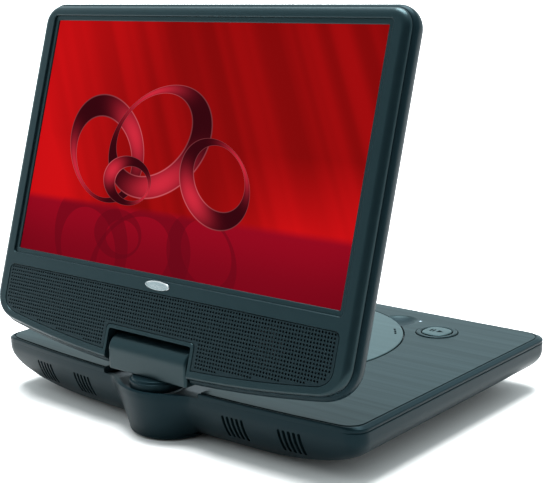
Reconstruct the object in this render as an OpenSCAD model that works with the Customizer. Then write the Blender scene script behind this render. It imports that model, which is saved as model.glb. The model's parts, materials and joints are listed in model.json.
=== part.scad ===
// Portable disc player with a swivel-and-tilt screen.
//
// The part stands on its feet at z = 0, centred on x = 0. The screen stands at the
// -Y end and faces -Y, and the disc deck reaches behind it towards +Y.
// Inside on_deck(), y = 0 is the line through the two front corners of the base and
// z = 0 is the top of the deck. Inside in_screen(), the origin is the tilt axis,
// z runs up the screen and y runs from its face to its back.

/* [Base] */
// Width of the base and of the screen unit
base_w = 249; // [240:1:260]
// Depth of the base, from the line through its front corners to its far edge
base_d = 177.5; // [174:0.5:184]
// Height of the deck above the surface that the feet stand on
base_h = 29; // [28.5:0.5:34]
// How far the front edge bows out from its corners
bow = 8; // [4:0.5:9]
// Thickness of the moulded walls
wall = 2.2; // [1.8:0.1:2.6]
// How far the hinge pedestal reaches in front of the front corners
pedestal_reach = 18.5; // [17:0.5:20]

/* [Hinge] */
// Height of the tilt axis above the deck
hinge_z = 11; // [10.8:0.1:12]
// Place of the tilt and swivel axes behind the front corners
hinge_y = -1; // [-1.5:0.5:0]
// Radius of the hinge barrel
barrel_r = 8.4; // [7.5:0.1:8.5]
// Width of the hinge barrel
barrel_w = 55; // [50:1:56]
// Angle by which the screen leans back as it stands
lean = 17.5; // [5:0.5:30]

/* [Screen] */
// Width of the visible picture
lcd_w = 222.7; // [215:0.1:224]
// Height of the visible picture
lcd_h = 128.4; // [120:0.1:129]
// Height of the screen unit above the tilt axis
screen_top = 178.9; // [178:0.1:181]
// Distance from the tilt axis forward to the screen's face
face = 8.5; // [8.2:0.1:8.8]
// Distance from the tilt axis back to the screen's back
back = 8.4; // [8:0.1:8.6]

/* [Disc drive] */
// Radius of the disc lid
lid_r = 71.1; // [68:0.1:71.5]
// Distance of the spindle from the line through the front corners
disc_y = 91.3; // [90:0.1:93]
// Travel of the laser sled
sled_travel = 33; // [20:1:33]

/* [Controls] */
// Place of the round control pad
pad_x = 72; // [69:0.1:74]
// Distance of the control pad from the line through the front corners
pad_y = 145; // [141:0.1:146]
// Radius of the ring round the middle button
ring_r = 11.4; // [10:0.1:11.6]

/* [Hidden] */
$fn = 64;

shell_blue = [0.20, 0.26, 0.28];
deck_blue = [0.33, 0.40, 0.42];
lid_blue = [0.46, 0.54, 0.55];
dark = [0.07, 0.08, 0.09];
steel = [0.70, 0.71, 0.73];
board_green = [0.08, 0.30, 0.20];

gap = 0.4;                 // clearance round a piece that moves
fit = 0.05;                // radial clearance of a running shaft
eps = 0.01;                // overrun of a cut

half_w = base_w / 2;
chord_y = (pedestal_reach - base_d) / 2;

// Base levels, measured down from the top of the deck
panel_t = 0.8;
deck_t = 3.4;              // deck panel and deck plate together
parting_z = -2.8;          // where the top deck meets the bottom shell
lip_z = -5.4;              // lower edge of the deck's inner lip
hull_z = -26.5;            // underside of the bottom shell
pedestal_z = 0.6 - base_h; // underside of the pedestal
pedestal_r = 31;           // the pedestal narrows from this radius to its round foot
pedestal_y = pedestal_r - pedestal_reach;
foot_r = 22.4;
foot_y = 8.6;
bevel = 2.6;               // width of the sloping edge round the deck
panel_inset = 3;

// Hinge well: a round recess with a straight back edge
well_r = 34;
well_back = 17.5;
well_z = -5.5;
seat_t = 2;
collar_r = 14.6;

// Disc drive levels
lid_z = 0.3;
lid_t = 2;
lid_hole_r = lid_r + 0.8;
lid_chord = 62.8;          // the lid ends in a straight edge at its hinge
lid_axis_y = disc_y - 65;
lid_axis_z = -1.6;
lid_back_gap = 1;          // gap behind the lid's straight edge
lid_pin_r = 0.6;
knuckle_r = 1.45;
knuckle_in = 8;
knuckle_out = 21.8;
tray_r = 63;
tray_wall = 1.5;
tray_z = -9.2;
tray_floor_t = 1.4;
flange_r = 73;
slot_half = 10;            // half width of the laser's slot in the tray
rod_r = 1.5;
rod_x = 16;
rod_z = -14;
rod_end = 3;               // thickness of the lugs that hold the rods
sled_half = 7;
sled_y0 = disc_y + 24;     // lens under the disc's inner edge
rod_y0 = sled_y0 - sled_half - rod_end - 1.5;
rod_y1 = sled_y0 + sled_travel + sled_half + rod_end + 1;
screw_x = 22;
shaft_r = 1.25;
chassis_z = -18.5;
chassis_t = 1.2;

// Controls
key_count = 5;
key_x = -88;
key_y0 = 70;
key_pitch = 16;
key_l = 13;
key_w = 5.4;
key_z = 0.6;
board_z = -9;

// Left side, where the sockets are
jack_z = -9;
jack_r = 3.2;
jack_bore_r = 1.8;
jack_l = 13;
side_x = 0.7 - half_w;     // outer face of the sockets
wheel_x = 8.1 - half_w;
wheel_y = 22;
phone_near_y = 40;
phone_far_y = 54;
av_y = 68;
usb_y = 90;
card_y = 116;
power_y = 143;
dc_y = 160;
dc_r = 3.5;

// Screen unit levels, measured from the tilt axis
lcd_z = 40.3;              // lower edge of the picture
lcd_y = 3 - face;          // plane of the picture
seam_y = 3.4 - face;       // where the bezel meets the back shell
grille_top = 31;
grille_bottom = -2.9;
grille_half = 114.3;
notch_half = 29;
notch_top = 9;
screen_bottom = -9.4;
screen_bow = 11;           // the screen's lower edge bows down by this much
bezel_inset = 2;
bezel_t = 2;
skin = 1.8;
tilt_r = 1.75;
lug_r = 2.95;

// ---------- outlines ----------

function smooth_min(a, b, k) = let (h = max(k - abs(a - b), 0) / k) min(a, b) - h * h * k / 4;

function bezier(p, q, r, s, t) =
    pow(1 - t, 3) * p + 3 * pow(1 - t, 2) * t * q + 3 * (1 - t) * t * t * r + pow(t, 3) * s;

// The front edge bows out as a flat arc.
function bowed(x) = -bow * (1 - pow(x / half_w, 2));

function round_front(x, r, centre) = centre - (abs(x) < r ? sqrt(r * r - x * x) : 0);

front_steps = 48;
corner_steps = 5;

// A corner that leaves p along the direction out and reaches s along the direction in.
function corner(p, s, out, in) =
    let (k = 0.56 * norm(s - p) / sqrt(2))
    [for (i = [1 : corner_steps - 1]) bezier(p, p + k * out, s - k * in, s, i / corner_steps)];

// Spreads -1 to 1 so that more of the points fall in the middle.
function crowded(t) = 0.45 * t + 0.55 * t * t * t;

// Outline of the base at one level: how far it is set in at the front, sides and far edge,
// and the pedestal's radius and centre (a radius of 0 leaves the pedestal out).
function base_outline(front, side, far, ped_r = 0, ped_y = 0) =
    let (
        w = half_w - side,
        rf = 9 + max(side - 3, 0) / 10,
        rb = max(11.3 - side / 3, 9),
        x0 = w - rf,
        y1 = base_d - far,
        edge = function (x)
            let (y = bowed(x) + front)
            ped_r > 0 ? smooth_min(y, round_front(x, ped_r, ped_y), 7) : y
    )
    concat(
        [for (i = [0 : front_steps]) let (x = x0 * crowded(2 * i / front_steps - 1)) [x, edge(x)]],
        corner([x0, edge(x0)], [w, edge(x0) + rf], [0.99, 0.12], [0, 1]),
        [[w, edge(x0) + rf], [w, y1 - rb]],
        corner([w, y1 - rb], [w - rb, y1], [0, 1], [-1, 0]),
        [[w - rb, y1], [rb - w, y1]],
        corner([rb - w, y1], [-w, y1 - rb], [-1, 0], [0, -1]),
        [[-w, y1 - rb], [-w, edge(x0) + rf]],
        corner([-w, edge(x0) + rf], [-x0, edge(x0)], [0, -1], [0.99, -0.12])
    );

// Skins a stack of outlines, each [z, points], from the lowest up. A stack that
// turns back down inside itself makes a cup.
module loft(rings) {
    n = len(rings[0][1]);
    m = len(rings);
    points = [for (ring = rings, p = ring[1]) [p.x, p.y, ring[0]]];
    sides = [
        for (j = [0 : m - 2], i = [0 : n - 1])
            let (a = j * n + i, b = j * n + (i + 1) % n)
            each [[a, b + n, b], [a, a + n, b + n]]
    ];
    bottom = [for (i = [0 : n - 1]) i];
    top = [for (i = [n - 1 : -1 : 0]) (m - 1) * n + i];
    polyhedron(points = points, faces = concat([bottom], sides, [top]), convexity = 6);
}

// How far a wall that curves in from z0 down to the underside has come in at height z.
// A power of 2 makes the curve an ellipse.
function tuck(z, z0, width, power = 2) =
    let (t = min(max((z0 - z) / (z0 - hull_z), 0), 0.995))
    width * (1 - pow(1 - pow(t, power), 1 / power));

// How far the pedestal has come in at height z, on its way from one size to another.
function taper(z, from, to) = (from - to) * max((front_z - z) / (front_z - hull_z), 0);

front_z = -5.5;            // where the front wall starts to curve in
hull_levels = [hull_z, -26.1, -25, -22.8, -19.5, -15, -9.5, front_z, parting_z];
inner_levels = [parting_z, front_z, -9.5, -12.5, -16, -20.5, -23.2, hull_z + wall];

function hull_ring(z, inset) = [z, base_outline(
    tuck(z, front_z, 13, 1.5) + inset,
    tuck(z, -8, 55) + inset,
    tuck(z, front_z, 31) + inset,
    pedestal_r - taper(z, pedestal_r, foot_r) - inset,
    pedestal_y - taper(z, pedestal_y, foot_y)
)];

// The inside follows the outside from a little lower down, so that the wall stays
// thick where it runs almost level.
function inner_ring(z, gap = 0) = [z, hull_ring(max(z - 1.2, hull_z), wall + gap)[1]];

module on_deck() translate([0, chord_y, base_h]) children();

module in_screen() on_deck() translate([0, hinge_y, hinge_z]) rotate([-lean, 0, 0]) children();

// A flat plate of the base's outline between two levels.
module base_plate(z0, z1, inset) {
    translate([0, 0, z0])
        linear_extrude(z1 - z0)
            polygon(base_outline(inset, inset, inset));
}

// A slot with round ends along x.
module slot(length, width, height) {
    linear_extrude(height)
        union() {
            square([length - width, width], center = true);
            for (s = [-1, 1])
                translate([s * (length - width) / 2, 0])
                    circle(d = width);
        }
}

module at_each_key() {
    for (i = [0 : key_count - 1])
        translate([key_x, key_y0 + i * key_pitch, 0])
            children();
}

// ---------- base ----------

foot_places = [[-66, 24], [66, 24], [-66, 136], [66, 136]];
screw_places = [[-60, 14], [60, 14], [-70, 86], [70, 86], [-52, 140], [52, 140]];
vent_pitch = 2.85;

// Five upright slots through the front wall.
module vent_group(x) {
    for (i = [-2 : 2])
        translate([x + i * vent_pitch - 0.85, bowed(x) - 4, -20.5])
            cube([1.7, 16, 12.2]);
}

module side_hole(y, r) translate([-half_w - 1, y, jack_z]) rotate([0, 90, 0]) cylinder(h = 8, r = r);

module side_slot(y, width, height)
    translate([-half_w - 1, y - width / 2, jack_z - height / 2])
        cube([8, width, height]);

module bottom_shell() {
    color(shell_blue) on_deck() difference() {
        union() {
            loft(concat(
                [for (z = hull_levels) hull_ring(z, 0)],
                [for (z = inner_levels) inner_ring(z)]
            ));
            for (p = screw_places)
                translate([p.x, p.y, hull_z + 1])
                    cylinder(h = 5.5, r = 3);
        }
        for (x = [-86.5, -53.7, 53.7, 86.5])
            vent_group(x);
        for (p = screw_places)
            translate([p.x, p.y, hull_z - 2])
                cylinder(h = 7, r = 1.3);
        for (y = [phone_near_y, phone_far_y, av_y])
            side_hole(y, jack_r + fit);
        side_hole(dc_y, dc_r + fit);
        side_slot(usb_y, 14.6, 7.2);
        side_slot(card_y, 28.2, 4.2);
        side_slot(power_y, 12, 4);
        side_slot(wheel_y, 14, 3.2);
    }
}

function pedestal_edge(x, inset) =
    smooth_min(bowed(x) + inset, round_front(x, pedestal_r - inset, pedestal_y), 7);

// The pedestal's wall rises past the deck's edge, round the front of the hinge well.
module pedestal_rim() {
    reach = 31.5;
    color(shell_blue) on_deck()
        translate([0, 0, parting_z])
            linear_extrude(-0.4 - parting_z)
                polygon(concat(
                    [for (i = [-20 : 20]) [reach * i / 20, pedestal_edge(reach * i / 20, 0)]],
                    [for (i = [20 : -1 : -20]) [reach * i / 20, pedestal_edge(reach * i / 20, wall)]]
                ));
}

// The round underside of the pedestal reaches almost to the floor.
module pedestal_foot() {
    color(shell_blue) on_deck()
        translate([0, foot_y, pedestal_z])
            rotate_extrude($fn = 96)
                polygon([
                    [0, 0], [foot_r - 2, 0], [foot_r - 1, 0.3], [foot_r - 0.3, 1],
                    [foot_r, hull_z - pedestal_z], [0, hull_z - pedestal_z]
                ]);
}

module top_deck() {
    color(shell_blue) on_deck() difference() {
        union() {
            loft([
                [parting_z, base_outline(0, 0, 0)],
                [-1.2, base_outline(0, 0, 0)],
                [-0.15, base_outline(bevel, bevel, bevel)],
                [0, base_outline(bevel + 0.3, bevel + 0.3, bevel + 0.3)]
            ]);
            base_plate(lip_z, parting_z, wall + 0.15);
        }
        base_plate(lip_z - 1, -deck_t, wall + 2);
        base_plate(-panel_t, 1, panel_inset);
        hinge_well_cut();
        lid_cut();
        finger_scoop();
        translate([pad_x, pad_y, -8])
            cylinder(h = 9, r = ring_r + gap);
        at_each_key()
            translate([0, 0, -8])
                slot(key_l + gap, key_w + gap, 9);
        translate([led_x, led_y, -8])
            cylinder(h = 9, r = 0.8);
        for (s = [-1, 1])
            translate([s * (knuckle_out + 3), lid_axis_y, lid_axis_z])
                rotate([0, 90, 0])
                    cylinder(h = 7, r = lid_pin_r, center = true);
    }
}

module hinge_well_cut() {
    translate([0, hinge_y, -12])
        difference() {
            cylinder(h = 14, r = well_r, $fn = 96);
            translate([-well_r, well_back - hinge_y, -1])
                cube([2 * well_r, well_r, 16]);
        }
}

// Round hole for the lid, with a pocket for its hinge knuckles.
module lid_cut() {
    translate([0, disc_y, -12]) {
        difference() {
            cylinder(h = 14, r = lid_hole_r, $fn = 180);
            translate([-lid_r, -lid_r - lid_chord - lid_back_gap, -1])
                cube([2 * lid_r, lid_r, 16]);
        }
        translate([-22.2, -68.8, 0])
            cube([44.4, 8, 14]);
    }
}

led_x = 52.8;
led_y = 157.8;
scoop_x = 42;
scoop_y = 152;
scoop_r = 24.2;
scoop_depth = 2.4;

// A shallow dish beside the lid, for a fingertip.
module finger_scoop() {
    translate([scoop_x, scoop_y, scoop_r - scoop_depth])
        sphere(r = scoop_r);
}

module deck_panel() {
    color(deck_blue) on_deck() difference() {
        base_plate(-panel_t, 0, panel_inset + 0.2);
        hinge_well_cut();
        lid_cut();
        finger_scoop();
        translate([pad_x, pad_y, -2])
            cylinder(h = 4, r = ring_r + gap);
        at_each_key()
            translate([0, 0, -2])
                slot(key_l + gap, key_w + gap, 4);
        translate([led_x, led_y, -2])
            cylinder(h = 4, r = 0.8);
    }
}

// Floor of the hinge well, which carries the swivel bushing.
module hinge_seat() {
    color(dark) on_deck() translate([0, hinge_y, well_z - seat_t]) difference() {
        union() {
            intersection() {
                cylinder(h = seat_t, r = well_r + 1.2, $fn = 96);
                translate([-well_r - 2, -well_r, -1])
                    cube([2 * well_r + 4, well_r + well_back + 2, 4]);
                translate([0, -hinge_y, 0])
                    linear_extrude(seat_t)
                        polygon(hull_ring(well_z - seat_t, wall + 0.3)[1]);
            }
            translate([0, 0, -5])
                cylinder(h = 6, r = 12.5);
        }
        translate([0, 0, -6])
            cylinder(h = 10, r = 10);
    }
}

// Wall of the disc well, with the flange that hangs it under the deck.
module disc_tray() {
    color(dark) on_deck() translate([0, disc_y, 0]) difference() {
        union() {
            translate([0, 0, -deck_t - 1.2])
                cylinder(h = 1.2, r = flange_r, $fn = 128);
            translate([0, 0, tray_z - tray_floor_t])
                cylinder(h = -tray_z + tray_floor_t - deck_t, r = tray_r + tray_wall, $fn = 128);
        }
        translate([0, 0, tray_z - 3])
            cylinder(h = 15, r = tray_r, $fn = 128);
    }
}

// Floor of the disc well, open for the hub and for the laser.
module tray_floor() {
    color(dark) on_deck() translate([0, disc_y, tray_z - tray_floor_t]) difference() {
        cylinder(h = tray_floor_t, r = tray_r, $fn = 128);
        translate([0, 0, -1])
            cylinder(h = 4, r = 15.5);
        translate([-slot_half, 10, -1])
            cube([2 * slot_half, 52, 4]);
    }
}

module drive_chassis() {
    color(steel) on_deck() difference() {
        union() {
            translate([-34, disc_y - 30, chassis_z])
                cube([68, rod_y1 - disc_y + 30, chassis_t]);
            for (y = [rod_y0, rod_y1 - rod_end], s = [-1, 1])
                translate([s * rod_x - 3, y, chassis_z])
                    cube([6, rod_end, 7]);
        }
        translate([-11, disc_y + 16, chassis_z - 1])
            cube([22, 46, 4]);
        for (s = [-1, 1])
            translate([s * rod_x, rod_y0 - 1, rod_z])
                rotate([-90, 0, 0])
                    cylinder(h = rod_y1 - rod_y0 + 2, r = rod_r);
    }
}

module spindle_motor() {
    color(steel) on_deck() translate([0, disc_y, chassis_z + chassis_t]) difference() {
        cylinder(h = 6, r = 13);
        translate([0, 0, 1])
            cylinder(h = 6, r = shaft_r + fit);
    }
}

module guide_rods() {
    color(steel) on_deck()
        for (s = [-1, 1])
            translate([s * rod_x, rod_y0, rod_z])
                rotate([-90, 0, 0])
                    cylinder(h = rod_y1 - rod_y0, r = rod_r);
}

module sled_motor() {
    color(steel) on_deck() translate([screw_x, rod_y1 + 1, rod_z]) rotate([-90, 0, 0]) difference() {
        cylinder(h = 8, r = 3.2);
        translate([0, 0, -1])
            cylinder(h = 5, r = 0.8 + fit);
    }
}

module main_board() {
    color(board_green) on_deck() {
        translate([-116.8, 16, -14.2])
            cube([44.8, 148, 1.6]);
        for (y = [36, 78, 120])
            translate([-94, y, -12.6])
                cube([16, 18, 2.2]);
        translate([wheel_x, wheel_y, -12.6])
            cylinder(h = 5.4, r = 1.15);
    }
}

// Two small boards that carry the switches under the keys and the control pad.
module key_board() {
    color(board_green) on_deck() {
        translate([key_x - 9, key_y0 - 6, board_z])
            cube([18, (key_count - 1) * key_pitch + 12, 1.2]);
        at_each_key()
            translate([-3, -3, board_z + 1.2])
                cube([6, 6, 1.4]);
        translate([pad_x - 3, pad_y - 12, board_z])
            cube([18, 24, 1.2]);
        translate([pad_x, pad_y, board_z + 1.2])
            cylinder(h = 1.4, r = 2.5);
    }
}

module battery_pack() {
    color([0.15, 0.2, 0.45]) on_deck()
        translate([68, 20, -19.5])
            cube([36, 100, 13]);
}

module feet() {
    color([0.1, 0.1, 0.1]) on_deck()
        for (p = foot_places)
            translate([p.x, p.y, -base_h])
                rotate_extrude()
                    polygon([
                        [0, 0], [6.2, 0], [7, 0.8], [7, base_h + hull_z], [0, base_h + hull_z]
                    ]);
}

// Pan-head screws: their shanks stand in the shell's holes.
module case_screws() {
    color(steel) on_deck()
        for (p = screw_places)
            translate([p.x, p.y, hull_z - 0.9])
                difference() {
                    union() {
                        cylinder(h = 0.9, r = 2.6);
                        cylinder(h = 5, r = 1.25);
                    }
                    for (a = [0, 90])
                        rotate([0, 0, a])
                            translate([-1.5, -0.3, -eps])
                                cube([3, 0.6, 0.5]);
                }
}

module swivel_bushing() {
    color(steel) on_deck() translate([0, hinge_y, 0]) difference() {
        union() {
            translate([0, 0, -13])
                cylinder(h = 8.3, r = 10);
            translate([0, 0, well_z])
                cylinder(h = 0.8, r = 13);
        }
        translate([0, 0, -14])
            cylinder(h = 12, r = 7.5 + fit);
    }
}

module status_led() {
    color([0.8, 0.85, 0.9]) on_deck()
        translate([led_x, led_y, -4])
            cylinder(h = 4, r = 0.75);
}

module lid_pins() {
    color(steel) on_deck()
        for (s = [-1, 1])
            translate([s * (knuckle_out - 3), lid_axis_y, lid_axis_z])
                rotate([0, 90, 0])
                    cylinder(h = 15, r = lid_pin_r, center = true);
}

// A springy tongue that the lid's rib snaps past.
module lid_catch() {
    color(dark) on_deck()
        translate([0, disc_y, 0])
            rotate([0, 0, 57])
                translate([66, -4, -deck_t])
                    cube([1.4, 8, 1.5]);
}

// ---------- sockets on the left side ----------

module jack(y) {
    color(dark) on_deck() translate([side_x, y, jack_z]) rotate([0, 90, 0]) difference() {
        cylinder(h = jack_l, r = jack_r);
        translate([0, 0, -1])
            cylinder(h = jack_l, r = jack_bore_r);
    }
}

module phone_jack_near() jack(phone_near_y);

module phone_jack_far() jack(phone_far_y);

module av_jack() jack(av_y);

module dc_jack() {
    color(dark) on_deck() translate([side_x, dc_y, jack_z]) rotate([0, 90, 0]) {
        difference() {
            cylinder(h = 11, r = dc_r);
            translate([0, 0, -1])
                cylinder(h = 10, r = 2.75);
        }
        cylinder(h = 10, r = 0.65);
    }
}

module usb_port() {
    color(steel) on_deck() translate([side_x, usb_y, jack_z]) difference() {
        translate([0, -7.2, -3.5])
            cube([14, 14.4, 7]);
        translate([-1, -6.25, -2.55])
            cube([13, 12.5, 5.1]);
    }
    color("white") on_deck()
        translate([side_x + 1, usb_y - 5.5, jack_z + 0.5])
            cube([11.5, 11, 1.8]);
}

module card_slot() {
    color(dark) on_deck() translate([side_x, card_y, jack_z]) difference() {
        translate([0, -14, -2])
            cube([26, 28, 4]);
        translate([-1, -12.3, -1.3])
            cube([25, 24.6, 2.6]);
    }
}

// ---------- swivel and tilt hinge ----------

// Cross-section of the barrel cover in y and z, about the tilt axis.
module barrel_profile(inset) {
    r = barrel_r - inset;
    union() {
        circle(r = r, $fn = 96);
        translate([-r, 1.6 - hinge_z + inset])
            square([2 * r, hinge_z - 1.6 - inset]);
    }
}

module barrel(inset, width) {
    rotate([90, 0, 90])
        linear_extrude(width, center = true)
            barrel_profile(inset);
}

module hinge_cover(side) {
    color(shell_blue) on_deck() translate([0, hinge_y, hinge_z]) difference() {
        barrel(0, barrel_w);
        barrel(1.8, barrel_w - 3.6);
        translate([-barrel_w, side > 0 ? -20 : 0, -20])
            cube([2 * barrel_w, 20, 40]);
        rotate([0, 90, 0])
            cylinder(h = 2 * barrel_w, r = tilt_r + 0.3, center = true);
        translate([0, 0, -hinge_z])
            cylinder(h = 4.6, r = 7.7);
    }
}

module hinge_cover_front() hinge_cover(-1);

module hinge_cover_back() hinge_cover(1);

// Round collar that turns in the well, under the barrel cover.
module swivel_collar() {
    color(shell_blue) on_deck() translate([0, hinge_y, 0]) difference() {
        union() {
            translate([0, 0, -3.9])
                cylinder(h = 4.2, r = collar_r);
            translate([0, 0, 0.3])
                cylinder(h = 1.3, r1 = collar_r, r2 = collar_r - 1.3);
        }
        translate([0, 0, -5])
            cylinder(h = 8, r = 7.7);
    }
}

// Steel tube and yoke that carry the tilt shafts.
module swivel_bracket() {
    color(steel) on_deck() translate([0, hinge_y, 0]) difference() {
        union() {
            translate([0, 0, -15.6])
                cylinder(h = 20, r = 7.5);
            translate([-22, -5.5, 3.6])
                cube([44, 11, 1.8]);
            for (s = [-1, 1])
                translate([s * 21 - 1, -5.5, 3.6])
                    cube([2, 11, 11]);
        }
        translate([0, 0, -16])
            cylinder(h = 30, r = 5);
        translate([0, 0, -14.9])
            difference() {
                cylinder(h = 1.1, r = 9);
                translate([0, 0, -1])
                    cylinder(h = 3, r = 6.6);
            }
        translate([0, 0, hinge_z])
            rotate([0, 90, 0])
                cylinder(h = 60, r = tilt_r, center = true);
    }
}

module swivel_clip() {
    color(steel) on_deck() translate([0, hinge_y, -14.8]) difference() {
        cylinder(h = 0.9, r = 9.4);
        translate([0, 0, -1])
            cylinder(h = 3, r = 6.65);
        translate([-4, 4, -1])
            cube([8, 8, 3]);
    }
}

module tilt_shaft(s) {
    color(steel) on_deck()
        translate([s * 31, hinge_y, hinge_z])
            rotate([0, 90, 0])
                cylinder(h = 24, r = tilt_r, center = true);
}

module tilt_shaft_left() tilt_shaft(-1);

module tilt_shaft_right() tilt_shaft(1);

// ---------- screen unit ----------

// Outline of the screen unit, set in all round.
function screen_outline(inset) =
    let (
        w = half_w - inset,
        rt = max(12 - inset, 4),
        rb = max(18 - inset, 6),
        x0 = w - rb,
        z1 = screen_top - inset,
        edge = function (x) screen_bottom + inset + screen_bow * pow(x / half_w, 2)
    )
    concat(
        [for (i = [0 : 40]) let (x = x0 * (i / 20 - 1)) [x, edge(x)]],
        corner([x0, edge(x0)], [w, edge(x0) + rb], [0.99, 0.12], [0, 1]),
        [[w, edge(x0) + rb], [w, z1 - rt]],
        corner([w, z1 - rt], [w - rt, z1], [0, 1], [-1, 0]),
        [[w - rt, z1], [rt - w, z1]],
        corner([rt - w, z1], [-w, z1 - rt], [-1, 0], [0, -1]),
        [[-w, z1 - rt], [-w, edge(x0) + rb]],
        corner([-w, edge(x0) + rb], [-x0, edge(x0)], [0, -1], [0.99, -0.12])
    );

// Skins a stack of screen outlines, each [y, inset], from the face to the back.
module screen_loft(levels) {
    rotate([90, 0, 0])
        loft([
            for (i = [len(levels) - 1 : -1 : 0])
                [-levels[i][0], screen_outline(levels[i][1])]
        ]);
}

module notch_cut(grow = 0) {
    translate([-notch_half - grow, -20, -20])
        cube([2 * (notch_half + grow), 40, 20 + notch_top + grow]);
}

// Outline of the speaker grille: straight on top, bowed below.
function grille_outline(inset) =
    let (
        w = grille_half - inset,
        rb = 10 - inset,
        rt = 3,
        x0 = w - rb,
        z1 = grille_top - inset,
        edge = function (x) grille_bottom + inset + screen_bow * pow(x / half_w, 2)
    )
    concat(
        [for (i = [0 : 40]) let (x = x0 * (i / 20 - 1)) [x, edge(x)]],
        corner([x0, edge(x0)], [w, edge(x0) + rb], [0.99, 0.12], [0, 1]),
        [[w, edge(x0) + rb], [w, z1 - rt]],
        corner([w, z1 - rt], [w - rt, z1], [0, 1], [-1, 0]),
        [[w - rt, z1], [rt - w, z1]],
        corner([rt - w, z1], [-w, z1 - rt], [-1, 0], [0, -1]),
        [[-w, z1 - rt], [-w, edge(x0) + rb]],
        corner([-w, edge(x0) + rb], [-x0, edge(x0)], [0, -1], [0.99, -0.12])
    );

// A flat plate in the screen's plane between two depths.
module upright_plate(y0, y1, points) {
    translate([0, y1, 0])
        rotate([90, 0, 0])
            linear_extrude(y1 - y0)
                polygon(points);
}

module upright_box(x, z0, z1, y0, y1) {
    translate([-x, y0, z0])
        cube([2 * x, y1 - y0, z1 - z0]);
}

module front_bezel() {
    color(shell_blue) in_screen() difference() {
        screen_loft([
            [-face, bezel_inset + 2.4], [0.4 - face, bezel_inset + 0.9], [1.2 - face, bezel_inset + 0.2],
            [seam_y, bezel_inset]
        ]);
        difference() {
            upright_box(half_w, -9, screen_top, bezel_t - face, seam_y + 1);
            upright_box(half_w + 1, -10, -4, -20, 20);
            difference() {
                upright_box(half_w + 1, -10, screen_top + 1, -20, 20);
                upright_plate(-19, 19, screen_outline(bezel_inset + skin));
            }
        }
        upright_box(lcd_w / 2 + 2.4, lcd_z - 2.4, lcd_z + lcd_h + 2.4, -face - 1, 1.2 - face);
        upright_box(lcd_w / 2, lcd_z, lcd_z + lcd_h, -face - 1, 1);
        upright_plate(-face - 1, 1 - face, grille_outline(0));
        for (s = [-1, 1])
            translate([s * 75, -face - 1, 17])
                rotate([-90, 0, 0])
                    cylinder(h = 6, r = 11);
        notch_cut();
        tilt_bore();
    }
}

// Room for the tilt shafts and the knuckles on them.
module tilt_bore() {
    rotate([0, 90, 0])
        cylinder(h = 87, r = 3.2, center = true);
}

back_levels = [
    [seam_y, 1.6], [seam_y + 1, 0.4], [-3, 0], [-1, 0.2], [1.5, 0.9], [3.8, 2.3], [5.6, 4.6], [6.8, 8.6],
    [7.6, 15], [8.1, 24], [back, 36]
];
cavity_levels = [[back - skin, 36], [6, 20], [5, 10], [3.6, 5.6], [1.5, 3.4], [-1, 2.4], [seam_y, 3.2]];

module back_shell() {
    color(shell_blue) in_screen() difference() {
        union() {
            screen_loft(concat(cavity_levels, back_levels));
            notch_walls();
        }
        notch_cut();
        tilt_bore();
        for (p = screen_screw_places)
            translate([p.x, back - 5, p.y])
                rotate([-90, 0, 0])
                    cylinder(h = 6, r = 1.3);
    }
}

// Walls that close the shell round the notch.
module notch_walls() {
    intersection() {
        screen_loft([[seam_y, 2.4], [-1, 1.4], [3.6, 3.8], [6.4, 12], [back - 1, 30]]);
        upright_box(notch_half + 1.5, -9, notch_top + 1.5, seam_y, back);
    }
}

screen_screw_places = [[-100, 22], [100, 22], [-100, 150], [100, 150], [-52, 22], [52, 22]];

module speaker_grille() {
    color(shell_blue) in_screen() difference() {
        upright_plate(0.25 - face, 1 - face, grille_outline(0.3));
        notch_cut(0.3);
    }
}

module speaker(s) {
    color(dark) in_screen()
        translate([s * 75, bezel_t - face, 17])
            rotate([-90, 0, 0])
                rotate_extrude()
                    polygon([[0, 1.5], [4, 2.5], [10.5, 0], [12.5, 0], [12.5, 2], [8, 6], [8, 9], [0, 9]]);
}

module speaker_left() speaker(-1);

module speaker_right() speaker(1);

module lcd_panel() {
    color([0.6, 0.05, 0.1]) in_screen()
        upright_box(lcd_w / 2 + 3, lcd_z - 3, lcd_z + lcd_h + 3, lcd_y + eps, lcd_y + 2.2);
}

module backlight_tray() {
    color(steel) in_screen()
        upright_box(lcd_w / 2 + 3, lcd_z - 3, lcd_z + lcd_h + 3, lcd_y + 2.2, lcd_y + 5);
}

module driver_board() {
    color(board_green) in_screen() {
        upright_box(60, lcd_z + 30, lcd_z + 74, 1.4, 2.6);
        upright_box(14, lcd_z + 42, lcd_z + 62, 2.6, 4.4);
    }
}

badge_w = 17;
badge_h = 5.4;

module badge() {
    color(steel) in_screen()
        upright_plate(-face - 0.5, -face, [
            for (a = [0 : 7.5 : 352.5])
                [badge_w / 2 * cos(a), 34.9 + badge_h / 2 * sin(a)]
        ]);
}

// Hinge leaf: a knuckle that turns on the tilt shaft and a plate fixed to the back shell.
module hinge_lug(s) {
    color(steel) in_screen() difference() {
        union() {
            translate([s * 36.8, 0, 0])
                rotate([0, 90, 0])
                    cylinder(h = 11.6, r = lug_r, center = true);
            translate([s * 36.8 - 5.8, 1.2, 0])
                cube([11.6, 1.7, 26]);
        }
        translate([s * 36.8, 0, 0])
            rotate([0, 90, 0])
                cylinder(h = 20, r = tilt_r + fit, center = true);
    }
}

module hinge_lug_left() hinge_lug(-1);

module hinge_lug_right() hinge_lug(1);

module screen_screws() {
    color(steel) in_screen()
        for (p = screen_screw_places)
            translate([p.x, 0, p.y])
                rotate([-90, 0, 0])
                    translate([0, 0, 3.4])
                        cylinder(h = back - 4, r = 1.25);
}

// ---------- disc lid and drive ----------

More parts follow.
